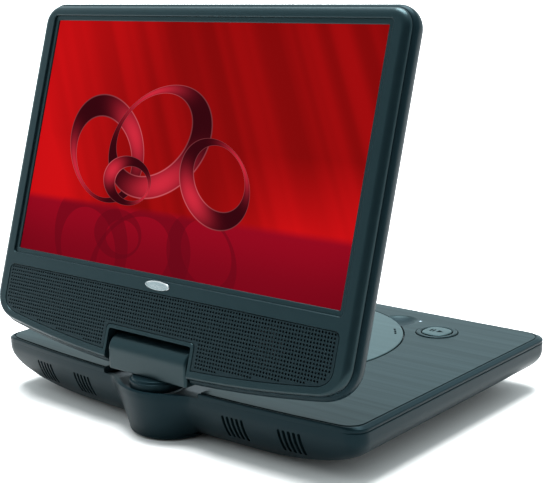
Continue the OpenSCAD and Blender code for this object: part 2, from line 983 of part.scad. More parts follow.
module disc_lid() {
    color(lid_blue) on_deck() difference() {
        union() {
            translate([0, disc_y, 0])
                difference() {
                    union() {
                        translate([0, 0, lid_z - lid_t])
                            cylinder(h = lid_t, r = lid_r, $fn = 180);
                        difference() {
                            translate([0, 0, 0.15 - deck_t])
                                cylinder(h = deck_t + lid_z - lid_t, r = 70.2, $fn = 128);
                            translate([0, 0, -5])
                                cylinder(h = 10, r = 68, $fn = 128);
                        }
                    }
                    translate([-lid_r, -lid_r - lid_chord, -6])
                        cube([2 * lid_r, lid_r, 8]);
                    translate([-lid_r, -lid_r, -6])
                        cube([2 * lid_r, 16, 6 + lid_z - lid_t]);
                }
            for (s = [-1, 1])
                translate([s * (knuckle_in + knuckle_out) / 2, lid_axis_y, lid_axis_z]) {
                    rotate([0, 90, 0])
                        cylinder(h = knuckle_out - knuckle_in, r = knuckle_r, center = true);
                    translate([(knuckle_in - knuckle_out) / 2, 0, 0.2])
                        cube([knuckle_out - knuckle_in, 4, 1.2]);
                }
        }
        for (s = [-1, 1])
            translate([s * (knuckle_out - 3), lid_axis_y, lid_axis_z])
                rotate([0, 90, 0])
                    cylinder(h = 16, r = lid_pin_r + fit, center = true);
    }
}

module turntable_hub() {
    color([0.85, 0.85, 0.86]) on_deck() translate([0, disc_y, 0]) {
        translate([0, 0, chassis_z + chassis_t + 1.4])
            cylinder(h = 9, r = shaft_r);
        translate([0, 0, -9])
            cylinder(h = 2.6, r = 14);
        translate([0, 0, -6.4])
            cylinder(h = 1.6, r = 7.3);
        translate([0, 0, -4.8])
            cylinder(h = 1, r1 = 7.3, r2 = 6);
    }
}

module pickup_sled() {
    color([0.12, 0.12, 0.13]) on_deck() translate([0, sled_y0, rod_z]) difference() {
        union() {
            translate([-20, -sled_half, -2.6])
                cube([45, 2 * sled_half, 5.2]);
            translate([-9, -4.5, 2])
                cube([18, 9, 3]);
        }
        for (x = [-rod_x, rod_x])
            translate([x, 0, 0])
                rotate([90, 0, 0])
                    cylinder(h = 40, r = rod_r + fit, center = true);
        translate([screw_x, 0, 0])
            rotate([90, 0, 0])
                cylinder(h = 40, r = rod_r + fit, center = true);
        translate([0, 0, -1])
            cylinder(h = 10, r = 3);
    }
}

module pickup_lens() {
    color([0.5, 0.6, 0.8]) on_deck()
        translate([0, sled_y0, rod_z - 1])
            rotate_extrude()
                polygon(concat(
                    [[0, 0], [3, 0], [3, 5.8], [2.2, 6.2]],
                    [for (a = [20 : 15 : 80]) [2.2 * cos(a), 6.2 + 0.6 * sin(a)]],
                    [[0, 6.8]]
                ));
}

module lead_screw() {
    color([0.8, 0.7, 0.4]) on_deck() translate([screw_x, rod_y0 - 1, rod_z]) rotate([-90, 0, 0]) {
        cylinder(h = rod_y1 - rod_y0 + 1, r = rod_r);
        cylinder(h = rod_y1 - rod_y0 + 5, r = 0.8);
    }
}

// ---------- controls ----------

module nav_ring() {
    color(deck_blue) on_deck() translate([pad_x, pad_y, 0]) difference() {
        union() {
            translate([0, 0, -3])
                cylinder(h = 3.5, r = ring_r);
            translate([0, 0, -5.4])
                cylinder(h = 1.4, r = 12.2);
            translate([0, 0, -4.2])
                cylinder(h = 1.4, r = 11);
        }
        translate([0, 0, -6])
            cylinder(h = 8, r = 8.7);
    }
}

module ok_button() {
    color(lid_blue) on_deck() translate([pad_x, pad_y, 0]) {
        translate([0, 0, -5])
            cylinder(h = 5.2, r = 8.35);
        translate([0, 0, 0.2])
            cylinder(h = 0.5, r1 = 8.35, r2 = 7.6);
    }
}

module key(i) {
    if (i < key_count)
        color(deck_blue) on_deck() translate([key_x, key_y0 + i * key_pitch, 0]) {
            translate([0, 0, -4])
                slot(key_l, key_w, 4 + key_z);
            translate([0, 0, -5.4])
                slot(key_l + 2, key_w + 2, 1.4);
        }
}

module key_1() key(0);

module key_2() key(1);

module key_3() key(2);

module key_4() key(3);

module key_5() key(4);

module power_switch() {
    color(dark) on_deck() translate([-half_w, power_y, jack_z]) {
        translate([0, -5.4, -1.6])
            cube([4.6, 4, 3.2]);
        translate([4.4, -8, -2.6])
            cube([1.4, 12, 5.2]);
    }
}

module volume_wheel() {
    color(dark) on_deck() translate([wheel_x, wheel_y, jack_z]) difference() {
        cylinder(h = 2.4, r = 8, center = true);
        for (a = [0 : 15 : 345])
            rotate([0, 0, a])
                translate([8.2, 0, -2])
                    cylinder(h = 4, r = 0.5, $fn = 16);
        cylinder(h = 4, r = 1.2, center = true);
    }
}

bottom_shell();
pedestal_rim();
pedestal_foot();
top_deck();
deck_panel();
hinge_seat();
disc_tray();
tray_floor();
drive_chassis();
spindle_motor();
guide_rods();
sled_motor();
main_board();
key_board();
battery_pack();
feet();
case_screws();
swivel_bushing();
status_led();
lid_pins();
lid_catch();
phone_jack_near();
phone_jack_far();
av_jack();
dc_jack();
usb_port();
card_slot();
hinge_cover_front();
hinge_cover_back();
swivel_collar();
swivel_bracket();
swivel_clip();
tilt_shaft_left();
tilt_shaft_right();
front_bezel();
back_shell();
speaker_grille();
speaker_left();
speaker_right();
lcd_panel();
backlight_tray();
driver_board();
badge();
hinge_lug_left();
hinge_lug_right();
screen_screws();
disc_lid();
turntable_hub();
pickup_sled();
pickup_lens();
lead_screw();
nav_ring();
ok_button();
key_1();
key_2();
key_3();
key_4();
key_5();
power_switch();
volume_wheel();
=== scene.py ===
import json
import math

import bmesh
import bpy
from mathutils import Matrix, Vector


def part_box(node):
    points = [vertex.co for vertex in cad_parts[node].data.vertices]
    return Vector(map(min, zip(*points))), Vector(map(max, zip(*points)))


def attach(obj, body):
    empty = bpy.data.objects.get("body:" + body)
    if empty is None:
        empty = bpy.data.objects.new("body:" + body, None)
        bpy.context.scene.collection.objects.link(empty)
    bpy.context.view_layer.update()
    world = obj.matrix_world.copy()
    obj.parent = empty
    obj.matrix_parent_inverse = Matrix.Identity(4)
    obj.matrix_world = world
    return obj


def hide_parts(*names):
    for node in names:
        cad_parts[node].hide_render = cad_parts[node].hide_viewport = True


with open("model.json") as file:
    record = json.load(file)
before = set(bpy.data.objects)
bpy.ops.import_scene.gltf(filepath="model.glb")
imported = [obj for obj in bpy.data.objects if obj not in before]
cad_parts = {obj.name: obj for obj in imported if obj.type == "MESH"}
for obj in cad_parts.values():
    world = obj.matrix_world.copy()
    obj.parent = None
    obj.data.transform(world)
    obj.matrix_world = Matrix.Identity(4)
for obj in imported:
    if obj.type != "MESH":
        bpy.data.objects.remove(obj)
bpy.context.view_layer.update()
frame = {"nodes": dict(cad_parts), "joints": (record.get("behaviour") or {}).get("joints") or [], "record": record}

# ---------- the frame, in millimetres ----------
# Shapes are written in millimetres in one of two local frames. DECK has its origin on the
# line through the base's two front corners, at the top of the deck. SCREEN has its origin
# on the tilt axis, z up the screen and y from its face to its back.

MM = 0.001
JOINT = {j["name"]: j for j in frame["joints"]}


def corners(node):
    """Lowest and highest corner of a CAD node, in millimetres."""
    return [Vector(c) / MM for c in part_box(node)]


TILT = Vector(JOINT["screen_tilt"]["pos_m"]) / MM
LEAN = math.radians(90 - JOINT["screen_tilt"]["range_deg"][1])
HINGE_Y = -1.0
DECK_TOP = corners("deck_panel")[1].z
CHORD_Y = TILT.y - HINGE_Y
HALF_W = corners("top_deck")[1].x
BASE_D = corners("top_deck")[1].y - CHORD_Y
HINGE_Z = TILT.z - DECK_TOP
SPINDLE = Vector(JOINT["turntable_spin"]["pos_m"]) / MM
DISC_Y = SPINDLE.y - CHORD_Y
DECK = Matrix.Translation(Vector((0, CHORD_Y, DECK_TOP)) * MM)
SCREEN = Matrix.Translation(TILT * MM) @ Matrix.Rotation(-LEAN, 4, "X")

# The base: how far its front bows out, its wall, where its halves meet and its underside.
BOW = 8.0
WALL = 2.2
PARTING = -2.8
HULL_Z = -26.5
FOOT_Z = 0.6 - DECK_TOP
WELL_R, WELL_BACK = 34.0, 17.5
JACK_Z = -9.0

# The disc lid: its radius, how far its straight edge is from its centre, and its hinge.
LID_R = corners("disc_lid")[1].x
LID_CHORD = 62.8
LID_AXIS_Y = DISC_Y - 65
LID_AXIS_Z = JOINT["lid_hinge"]["pos_m"][2] / MM - DECK_TOP

# The screen: its face and back either side of the tilt axis, its picture and its edges.
FACE, BACK = 8.5, 8.4
SEAM_Y = 3.4 - FACE
LCD_W, LCD_H, LCD_Z = 222.7, 128.4, 40.3
LCD_Y = 3 - FACE
SCREEN_TOP = 178.9
SCREEN_BOTTOM = -9.4
SCREEN_BOW = 11.0


# ---------- outlines ----------

def smooth_min(a, b, k):
    """The lesser of two numbers, rounded off where they are within k of each other."""
    h = max(k - abs(a - b), 0) / k
    return min(a, b) - h * h * k / 4


def bezier(p, q, r, s, t):
    """A point of a cubic curve, at t of 0..1."""
    p, q, r, s = (Vector(v) for v in (p, q, r, s))
    u = 1 - t
    return u ** 3 * p + 3 * u * u * t * q + 3 * u * t * t * r + t ** 3 * s


def corner(p, s, leaving, arriving, steps=10):
    """Points of a rounded corner between p and s, without its two ends."""
    p, s = Vector(p), Vector(s)
    k = 0.56 * (s - p).length / math.sqrt(2)
    q, r = p + k * Vector(leaving), s - k * Vector(arriving)
    return [bezier(p, q, r, s, i / steps) for i in range(1, steps)]


def rounded_slab(low_edge, x0, w, z1, rb, rt, steps, spread=1.0):
    """An outline with a curved low edge, straight sides and a straight far edge."""
    def along(i):
        t = 2 * i / steps - 1
        return x0 * (spread * t + (1 - spread) * t ** 3)

    e0 = low_edge(x0)
    side = 5
    pts = [Vector((along(i), low_edge(along(i)))) for i in range(steps + 1)]
    pts += corner((x0, e0), (w, e0 + rb), (0.99, 0.12), (0, 1))
    pts += [Vector((w, e0 + rb + (z1 - rt - e0 - rb) * i / side)) for i in range(side + 1)]
    pts += corner((w, z1 - rt), (w - rt, z1), (0, 1), (-1, 0))
    far = 20
    pts += [Vector((w - rt - 2 * (w - rt) * i / far, z1)) for i in range(far + 1)]
    pts += corner((rt - w, z1), (-w, z1 - rt), (-1, 0), (0, -1))
    pts += [Vector((-w, z1 - rt - (z1 - rt - e0 - rb) * i / side)) for i in range(side + 1)]
    pts += corner((-w, e0 + rb), (-x0, e0), (0, -1), (0.99, -0.12))
    return pts


def bowed(x):
    """How far the front edge of the base is from the line through its corners."""
    return -BOW * (1 - (x / HALF_W) ** 2)


def base_outline(front, side, far, ped_r=0.0, ped_y=0.0):
    """The base seen from above: how far it is set in on each side, and the pedestal's circle."""
    w = HALF_W - side
    rf = 9 + max(side - 3, 0) / 10

    def edge(x):
        y = bowed(x) + front
        if ped_r <= 0:
            return y
        circle = ped_y - (math.sqrt(ped_r ** 2 - x * x) if abs(x) < ped_r else 0)
        return smooth_min(y, circle, 7)

    return rounded_slab(edge, w - rf, w, BASE_D - far, rf, max(11.3 - side / 3, 9), 120, 0.45)


def screen_outline(inset, below=None):
    """The screen unit seen from its face. Its lower edge may be set in by another amount."""
    below = inset if below is None else below
    w = HALF_W - inset
    rb = max(18 - inset, 6)
    return rounded_slab(
        lambda x: SCREEN_BOTTOM + below + SCREEN_BOW * (x / HALF_W) ** 2,
        w - rb, w, SCREEN_TOP - inset, rb, max(12 - inset, 4), 60)


NOTCH_HALF, NOTCH_TOP, NOTCH_LIP = 28.9, 9.1, 1.9
GRILLE_HALF, GRILLE_TOP, GRILLE_BOTTOM = 114.3, 31.0, -2.9


def grille_outline(inset):
    """The speaker grille: straight on top, bowed below, with a bay for the hinge notch."""
    w = GRILLE_HALF - inset
    rb, rt = 9 - inset, 3
    x0 = w - rb
    bay = NOTCH_HALF + NOTCH_LIP + inset
    bay_top = NOTCH_TOP + NOTCH_LIP + inset
    bay_r = 2.5

    def edge(x):
        return GRILLE_BOTTOM + inset + SCREEN_BOW * (x / HALF_W) ** 2

    n = 24
    half = [Vector((bay + (x0 - bay) * i / n, edge(bay + (x0 - bay) * i / n))) for i in range(n + 1)]
    e0, z1 = edge(x0), GRILLE_TOP - inset
    right = [Vector((bay - bay_r, bay_top))]
    right += corner((bay - bay_r, bay_top), (bay, bay_top - bay_r), (1, 0), (0, -1), 6)
    right += [Vector((bay, bay_top - bay_r))] + half
    right += corner((x0, e0), (w, e0 + rb), (0.99, 0.12), (0, 1), 8)
    right += [Vector((w, e0 + rb)), Vector((w, z1 - rt))]
    right += corner((w, z1 - rt), (w - rt, z1), (0, 1), (-1, 0), 6)
    right += [Vector((w - rt, z1))]
    return right + [Vector((-p.x, p.y)) for p in reversed(right)]


# ---------- mesh tools ----------

class Shape:
    """Closed solids gathered into one mesh, in millimetres."""

    def __init__(self):
        self.bm = bmesh.new()

    def loft(self, rings):
        """Skins a stack of equal rings of 3D points and closes both ends."""
        rows = [[self.bm.verts.new(p) for p in ring] for ring in rings]
        faces = []
        for low, high in zip(rows, rows[1:]):
            for i in range(len(low)):
                j = (i + 1) % len(low)
                faces.append(self.bm.faces.new((low[i], low[j], high[j], high[i])))
        faces.append(self.bm.faces.new(rows[0][::-1]))
        faces.append(self.bm.faces.new(rows[-1]))
        bmesh.ops.recalc_face_normals(self.bm, faces=faces)
        return self

    def turn(self, profile, centre=(0, 0, 0), axis="Z", steps=96):
        """Turns a closed (radius, height) profile about an axis through centre."""
        spin = {
            "Z": Matrix.Identity(3),
            "X": Matrix.Rotation(math.pi / 2, 3, "Y"),
            "Y": Matrix.Rotation(-math.pi / 2, 3, "X"),
        }[axis]
        centre = Vector(centre)
        rows = []
        for r, h in profile:
            ring = [spin @ Vector((r * math.cos(a), r * math.sin(a), h)) + centre
                    for a in (2 * math.pi * i / steps for i in range(steps))]
            rows.append([self.bm.verts.new(p) for p in ring] if r > 0
                        else [self.bm.verts.new(ring[0])] * steps)
        faces = []
        closed = profile[0][0] > 0 and profile[-1][0] > 0
        pairs = list(zip(rows, rows[1:])) + ([(rows[-1], rows[0])] if closed else [])
        for low, high in pairs:
            for i in range(steps):
                j = (i + 1) % steps
                quad = []
                for v in (low[i], low[j], high[j], high[i]):
                    if v not in quad:
                        quad.append(v)
                if len(quad) > 2:
                    faces.append(self.bm.faces.new(quad))
        bmesh.ops.recalc_face_normals(self.bm, faces=faces)
        return self

    def prism(self, points, low, high, axis="Z"):
        """Extrudes a 2D outline between two heights, along Z or along Y."""
        if axis == "Z":
            return self.loft([[(p[0], p[1], h) for p in points] for h in (low, high)])
        return self.loft([[(p[0], h, p[1]) for p in points] for h in (low, high)])

    def box(self, low, high):
        (x0, y0, z0), (x1, y1, z1) = low, high
        return self.prism([(x0, y0), (x1, y0), (x1, y1), (x0, y1)], z0, z1)

    def mesh(self, name):
        bmesh.ops.scale(self.bm, vec=(MM, MM, MM), verts=self.bm.verts)
        data = bpy.data.meshes.new(name)
        self.bm.to_mesh(data)
        self.bm.free()
        return data


def solid(name, shape, place=DECK):
    """A Shape as an object, in the deck's frame unless another is given."""
    obj = bpy.data.objects.new(name, shape.mesh(name))
    bpy.context.scene.collection.objects.link(obj)
    obj.matrix_world = place
    return obj


def cut_object(obj, tool, operation="DIFFERENCE"):
    """Applies an exact boolean of obj with another object, which it uses up."""
    mod = obj.modifiers.new("cut", "BOOLEAN")
    mod.operation, mod.solver, mod.object = operation, "EXACT", tool
    bpy.context.view_layer.update()
    depsgraph = bpy.context.evaluated_depsgraph_get()
    old, obj.data = obj.data, bpy.data.meshes.new_from_object(obj.evaluated_get(depsgraph))
    obj.modifiers.clear()
    bpy.data.meshes.remove(old)
    bpy.data.meshes.remove(tool.data)
    return obj


def cut(obj, shape, operation="DIFFERENCE"):
    """Applies an exact boolean of obj with a Shape."""
    return cut_object(obj, solid("cutter", shape, obj.matrix_world), operation)


def shade(obj, angle=32):
    """Smooth shading that keeps edges sharper than an angle."""
    obj.data.shade_smooth()
    obj.data.set_sharp_from_angle(angle=math.radians(angle))
    mod = obj.modifiers.new("normals", "WEIGHTED_NORMAL")
    mod.keep_sharp = True
    mod.weight = 80


def finish_piece(obj, body, material, replaces=(), angle=32):
    obj.data.name = obj.name
    shade(obj, angle)
    dark = [face.material_index for face in obj.data.polygons]
    obj.data.materials.clear()
    obj.data.materials.append(material)
    if any(dark):
        obj.data.materials.append(DARK)
        obj.data.polygons.foreach_set("material_index", dark)
    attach(obj, body)
    if replaces:
        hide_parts(*replaces)
    return obj


def arc(cx, cy, r, a0, a1, steps):
    """Points of an arc, in degrees."""
    angles = [math.radians(a0 + (a1 - a0) * i / steps) for i in range(steps + 1)]
    return [(cx + r * math.cos(a), cy + r * math.sin(a)) for a in angles]


def slot_outline(length, width, cx=0.0, cy=0.0, steps=10):
    """A slot with round ends along x."""
    h, r = (length - width) / 2, width / 2
    return arc(cx + h, cy, r, -90, 90, steps) + arc(cx - h, cy, r, 90, 270, steps)


def box_outline(w, h, r, cx=0.0, cy=0.0, steps=6):
    """A rectangle with rounded corners, given its half sizes."""
    return (arc(cx + w - r, cy - h + r, r, -90, 0, steps)
            + arc(cx + w - r, cy + h - r, r, 0, 90, steps)
            + arc(cx - w + r, cy + h - r, r, 90, 180, steps)
            + arc(cx - w + r, cy - h + r, r, 180, 270, steps))


def level_rings(outline, levels):
    """Rings of a level outline, one for each height and growth."""
    return [[(p[0], p[1], z) for p in outline(grow)] for z, grow in levels]


def upright_rings(outline, levels):
    """Rings of an outline that stands in the screen's plane, one for each depth and growth."""
    return [[(p[0], y, p[1]) for p in outline(grow)] for y, grow in levels]


# ---------- material tools ----------

class Field:
    """A number that varies over a surface, written as arithmetic and kept as Math nodes."""

    def __init__(self, tree, socket):
        self.tree, self.socket = tree, socket

    def math(self, operation, *values, clamp=False):
        node = self.tree.nodes.new("ShaderNodeMath")
        node.operation, node.use_clamp = operation, clamp
        for i, v in enumerate((self,) + values):
            if isinstance(v, Field):
                self.tree.links.new(v.socket, node.inputs[i])
            else:
                node.inputs[i].default_value = v
        return Field(self.tree, node.outputs[0])

    def __add__(self, other):
        return self.math("ADD", other)

    def __sub__(self, other):
        return self.math("SUBTRACT", other)

    def __mul__(self, other):
        return self.math("MULTIPLY", other)

    def __truediv__(self, other):
        return self.math("DIVIDE", other)

    def clamped(self):
        return self.math("ADD", 0.0, clamp=True)

    def step(self, low, high):
        """0 below low and 1 above high, with a smooth rise between."""
        node = self.tree.nodes.new("ShaderNodeMapRange")
        node.interpolation_type = "SMOOTHSTEP"
        self.tree.links.new(self.socket, node.inputs["Value"])
        node.inputs["From Min"].default_value = low
        node.inputs["From Max"].default_value = high
        return Field(self.tree, node.outputs["Result"])

    def ramp(self, low, high):
        """Maps 0..1 to low..high."""
        return self * (high - low) + low


class Surface:
    """One procedural material built round a Principled shader."""

    def __init__(self, name, colour, roughness, metallic=0.0, **sockets):
        self.material = bpy.data.materials.new(name)
        self.material.use_nodes = True
        self.tree = self.material.node_tree
        self.bsdf = self.tree.nodes["Principled BSDF"]
        self.base = colour
        self.bsdf.inputs["Base Color"].default_value = (*colour, 1)
        self.bsdf.inputs["Roughness"].default_value = roughness
        self.bsdf.inputs["Metallic"].default_value = metallic
        for key, value in sockets.items():
            self.bsdf.inputs[key.replace("_", " ")].default_value = value
        place = self.tree.nodes.new("ShaderNodeTexCoord")
        self.place = place.outputs["Object"]

    def link(self, a, b):
        self.tree.links.new(a, b)

    def axis(self, i):
        """One coordinate of the surface point, in millimetres."""
        node = self.tree.nodes.new("ShaderNodeSeparateXYZ")
        self.link(self.place, node.inputs[0])
        return Field(self.tree, node.outputs[i]) * (1 / MM)

    def noise(self, size, detail=2.0, roughness=0.5, stretch=(1, 1, 1), seed=0.0):
        """Noise of 0..1 whose features are about size millimetres, stretched along each axis."""
        mapping = self.tree.nodes.new("ShaderNodeMapping")
        self.link(self.place, mapping.inputs["Vector"])
        mapping.inputs["Scale"].default_value = [1 / (MM * size * s) for s in stretch]
        mapping.inputs["Location"].default_value = (seed, seed * 1.7, seed * 2.3)
        node = self.tree.nodes.new("ShaderNodeTexNoise")
        self.link(mapping.outputs[0], node.inputs["Vector"])
        node.inputs["Scale"].default_value = 1.0
        node.inputs["Detail"].default_value = detail
        node.inputs["Roughness"].default_value = roughness
        return Field(self.tree, node.outputs["Fac"])

    def mix(self, low, high, factor):
        """A colour between two colours."""
        node = self.tree.nodes.new("ShaderNodeMix")
        node.data_type = "RGBA"
        self.link(factor.socket, node.inputs["Factor"])
        for socket, c in ((node.inputs[6], low), (node.inputs[7], high)):
            if isinstance(c, tuple):
                socket.default_value = (*c, 1)
            else:
                self.link(c, socket)
        return node.outputs[2]

    def shades(self, factor, spread):
        """Paints the base colour darker and lighter by a factor of 0..1."""
        low = tuple(c * (1 - spread) for c in self.base)
        high = tuple(min(c * (1 + spread), 1) for c in self.base)
        self.link(self.mix(low, high, factor), self.bsdf.inputs["Base Color"])
        return self

    def rough(self, factor, low, high):
        """Varies the roughness between two values."""
        self.link(factor.ramp(low, high).socket, self.bsdf.inputs["Roughness"])
        return self

    def bump(self, factor, height):
        """Relief of a height in millimetres."""
        node = self.tree.nodes.new("ShaderNodeBump")
        node.inputs["Strength"].default_value = 1.0
        node.inputs["Distance"].default_value = height * MM
        self.link(factor.socket, node.inputs["Height"])
        last = self.bsdf.inputs["Normal"]
        if last.is_linked:
            self.link(last.links[0].from_socket, node.inputs["Normal"])
        self.link(node.outputs["Normal"], last)
        return self


def moulded(name, colour, roughness, grain=0.5, height=0.006, **sockets):
    """Injection-moulded plastic: fine grain, faint cloudiness and handling wear."""
    s = Surface(name, colour, roughness, **sockets)
    cloud = s.noise(38, 3, seed=1.0)
    s.shades(cloud, 0.07)
    s.rough(s.noise(9, 4, 0.6, seed=2.0), roughness - 0.05, roughness + 0.06)
    s.bump(s.noise(grain, 2, 0.6, seed=3.0), height)
    return s.material


def brushed(name, colour, roughness, spread, height, gloss, **sockets):
    """Satin finish with fine streaks along x, which also vary its gloss."""
    length = 90.0
    s = Surface(name, colour, roughness, **sockets)
    fine = s.noise(0.34, 3, 0.6, (length / 0.34, 1, 1), 4.0)
    broad = s.noise(2.6, 3, 0.6, (length / 1.5, 1, 1), 5.0)
    streak = (fine * 0.4 + broad * 0.6).step(0.36, 0.64)
    s.shades(streak, spread)
    level = streak.ramp(gloss * (1 - spread), gloss * (1 + spread))
    s.link(level.socket, s.bsdf.inputs["Specular IOR Level"])
    s.rough(fine, roughness - 0.06, roughness + 0.08)
    s.bump(fine, height)
    return s.material


# The tints of the plastics' gloss.
TEAL = (0.56, 0.92, 1.0, 1)
DEEP_TEAL = (0.46, 0.86, 1.0, 1)

SHELL = moulded("shell_satin", (0.0036, 0.0084, 0.0105), 0.36, 0.5, 0.005,
                Specular_IOR_Level=0.08, Specular_Tint=DEEP_TEAL)
BEZEL = moulded("bezel_satin", (0.0034, 0.0078, 0.0096), 0.30, 0.45, 0.003,
                Specular_IOR_Level=0.22, Specular_Tint=TEAL)
GRILLE = moulded("grille_satin", (0.003, 0.0059, 0.0077), 0.38, 0.6, 0.004,
                 Specular_IOR_Level=0.165, Specular_Tint=TEAL)
DECK_SKIN = brushed("deck_brushed", (0.0032, 0.008, 0.0095), 0.36, 0.2, 0.004, 0.105,
                    Specular_Tint=TEAL)
LID_SKIN = brushed("lid_brushed", (0.0185, 0.0295, 0.031), 0.36, 0.1, 0.003, 0.205,
                   Specular_Tint=TEAL)
DARK = moulded("dark_plastic", (0.004375, 0.005625, 0.006875), 0.65, Specular_IOR_Level=0.0)
RUBBER = moulded("foot_rubber", (0.00625, 0.00625, 0.006875), 0.8, 0.8, 0.02)
HUB = moulded("hub_plastic", (0.325, 0.325, 0.3313), 0.4, 0.6, 0.004)


def metal(name, colour, roughness, size, stretch=(1, 1, 1)):
    """Metal with a fine grain, which may be drawn out along one axis."""
    s = Surface(name, colour, roughness, 1.0)
    s.shades(s.noise(12, 3, seed=6.0), 0.08)
    s.rough(s.noise(size, 3, 0.6, stretch, 7.0), roughness - 0.07, roughness + 0.1)
    s.bump(s.noise(size, 2, 0.5, stretch, 8.0), 0.003)
    return s.material


STEEL = metal("steel", (0.29, 0.3, 0.31), 0.3, 0.4, (8, 1, 1))
BRASS = metal("brass_screw", (0.34, 0.26, 0.11), 0.28, 0.3)
BADGE = metal("badge_trim", (0.305, 0.315, 0.32), 0.26, 0.3, (20, 1, 1))


def circuit_board():
    """Green lacquer over fine tracks, with patches of bare pads."""
    s = Surface("circuit_board", (0.006, 0.056, 0.028), 0.36, Specular_IOR_Level=0.3)
    x, y = s.axis(0), s.axis(1)
    track = (x / 1.6).math("FRACT").step(0.62, 0.7) * (y / 23).math("FRACT").step(0.1, 0.12)
    columns, rows = ((along / 2.54).math("FRACT").math("COMPARE", 0.5, 0.16) for along in (x, y))
    pads = columns * rows
    green = s.mix((0.005, 0.047, 0.025), (0.019, 0.106, 0.05), track)
    patch = s.noise(16, 1, seed=9.0).step(0.55, 0.57)
    s.link(s.mix(green, (0.34, 0.32, 0.26), pads * patch), s.bsdf.inputs["Base Color"])
    s.bump(track, 0.03)
    return s.material


def wrap():
    """The printed film round the battery pack, a little creased."""
    s = Surface("battery_wrap", (0.02, 0.04, 0.19), 0.3)
    s.shades(s.noise(20, 2, seed=10.0), 0.2)
    s.bump(s.noise(7, 3, 0.6, (4, 1, 1), 11.0), 0.12)
    return s.material


def lens():
    """The clear plastic of the laser's lens and of the status light, whose pale dot on the scoop's rim also stands
    in for a painted highlight there.
    """
    s = Surface("clear_lens", (0.62, 0.70, 0.80), 0.06,
                Transmission_Weight=0.7, IOR=1.5, Coat_Weight=0.5)
    s.rough(s.noise(1.5, 2, seed=12.0), 0.03, 0.1)
    return s.material


# ---------- base ----------

# Where the walls start to curve in, and how far they have come in at the underside.
FRONT_Z, SIDE_Z = -5.5, -8
FRONT_TUCK, SIDE_TUCK, FAR_TUCK = 13, 55, 31

# The pedestal's circle at the top, and the round foot that it narrows to.
PEDESTAL_R, PEDESTAL_Y = 31.0, 12.5
FOOT_R, FOOT_Y = 22.4, 8.6


def tuck(z, z0, width, power=2.0):
    """How far a wall that curves in from z0 down to the underside has come in at height z."""
    t = min(max((z0 - z) / (z0 - HULL_Z), 0), 0.998)
    return width * (1 - (1 - t ** power) ** (1 / power))


def taper(z, start, end):
    """How far the pedestal has come in at height z, on its way from one size to another."""
    return (start - end) * max((FRONT_Z - z) / (FRONT_Z - HULL_Z), 0)


def hull_ring(z, inset=0.0, lower=0.0, front=None):
    """The outside at height z, set in, or the outline from a little lower down for the inside."""
    level = max(z - lower, HULL_Z)
    front = inset if front is None else front
    pts = base_outline(tuck(level, FRONT_Z, FRONT_TUCK, 1.5) + front,
                       tuck(level, SIDE_Z, SIDE_TUCK) + inset,
                       tuck(level, FRONT_Z, FAR_TUCK) + inset,
                       PEDESTAL_R - taper(level, PEDESTAL_R, FOOT_R) - front,
                       PEDESTAL_Y - taper(level, PEDESTAL_Y, FOOT_Y))
    return [(p.x, p.y, z) for p in pts]


def towards_foot(ring, r, z):
    """The points of a ring moved along their bearings to the round foot."""
    out = []
    for x, y, _ in ring:
        d = Vector((x, y - FOOT_Y)).normalized()
        out.append((d.x * r, FOOT_Y + d.y * r, z))
    return out


SCREW_PLACES = [(-60, 14), (60, 14), (-70, 86), (70, 86), (-52, 140), (52, 140)]
SCREW_R, BOSS_R = 1.3, 3

# The four groups of vents in the front wall, each of five slots.
VENTS_X, VENT_PITCH = (-86.5, -53.7, 53.7, 86.5), 2.85
VENT_LONG, VENT_WIDE, VENT_Z = 12.4, 1.7, -14.4

# The openings in the left side by their place along it: radii, or width, height and corner.
SIDE_ROUND = {40: 3.25, 54: 3.25, 68: 3.25, 160: 3.55}
SIDE_SLOTS = {90: (14.6, 7.2, 0.9), 116: (28.2, 4.2, 0.5), 143: (12, 4, 0.8), 22: (14, 3.2, 0.8)}


def case_walls():
    """The base's shell: up the inside, over the rim, down the outside and under the foot."""
    inside = (HULL_Z + WALL, -23.4, -21.5, -19, -16, -12.5, -9.5, -7, -4.3)
    inner = [hull_ring(z, WALL, 1.2) for z in inside]
    rim = [hull_ring(PARTING, WALL), hull_ring(PARTING, 0.5, 0, 0.05),
           hull_ring(PARTING - 0.18, 0.45, 0, 0.03), hull_ring(PARTING - 0.35, 0.12, 0, 0.01),
           hull_ring(PARTING - 0.6, 0)]
    outer = [hull_ring(FRONT_Z + 0.6), hull_ring(FRONT_Z - 0.4), hull_ring(FRONT_Z - 1.4)]
    turns = [math.sin(math.radians(a)) for a in range(0, 85, 6)]
    outer += [hull_ring(SIDE_Z + (HULL_Z - SIDE_Z) * t) for t in turns] + [hull_ring(HULL_Z)]
    low = outer[-1]
    foot = [towards_foot(low, FOOT_R + 0.1, HULL_Z - 0.1)]
    edge = arc(FOOT_R - 1.5, FOOT_Z + 1.5, 1.5, 0, -80, 6)
    foot += [towards_foot(low, r, z) for r, z in edge]
    return Shape().loft(inner + rim + outer + foot)


def side_openings(holes):
    """Adds the sockets, switch and wheel openings of the left side, each with an eased edge."""
    side = -HALF_W
    for y, r in SIDE_ROUND.items():
        profile = [(0, -2), (r + 0.5, -2), (r + 0.5, 0.15), (r, 0.6), (r, 8), (0, 8)]
        holes.turn(profile, (side, y, JACK_Z), "X", 48)
    for y, (w, h, r) in SIDE_SLOTS.items():
        outline = box_outline(w / 2, h / 2, r, y, JACK_Z)
        grown = box_outline(w / 2 + 0.4, h / 2 + 0.4, r + 0.4, y, JACK_Z)
        levels = ((side - 2, grown), (side + 0.15, grown), (side + 0.55, outline), (side + 8, outline))
        holes.loft([[(x, p[0], p[1]) for p in pts] for x, pts in levels])


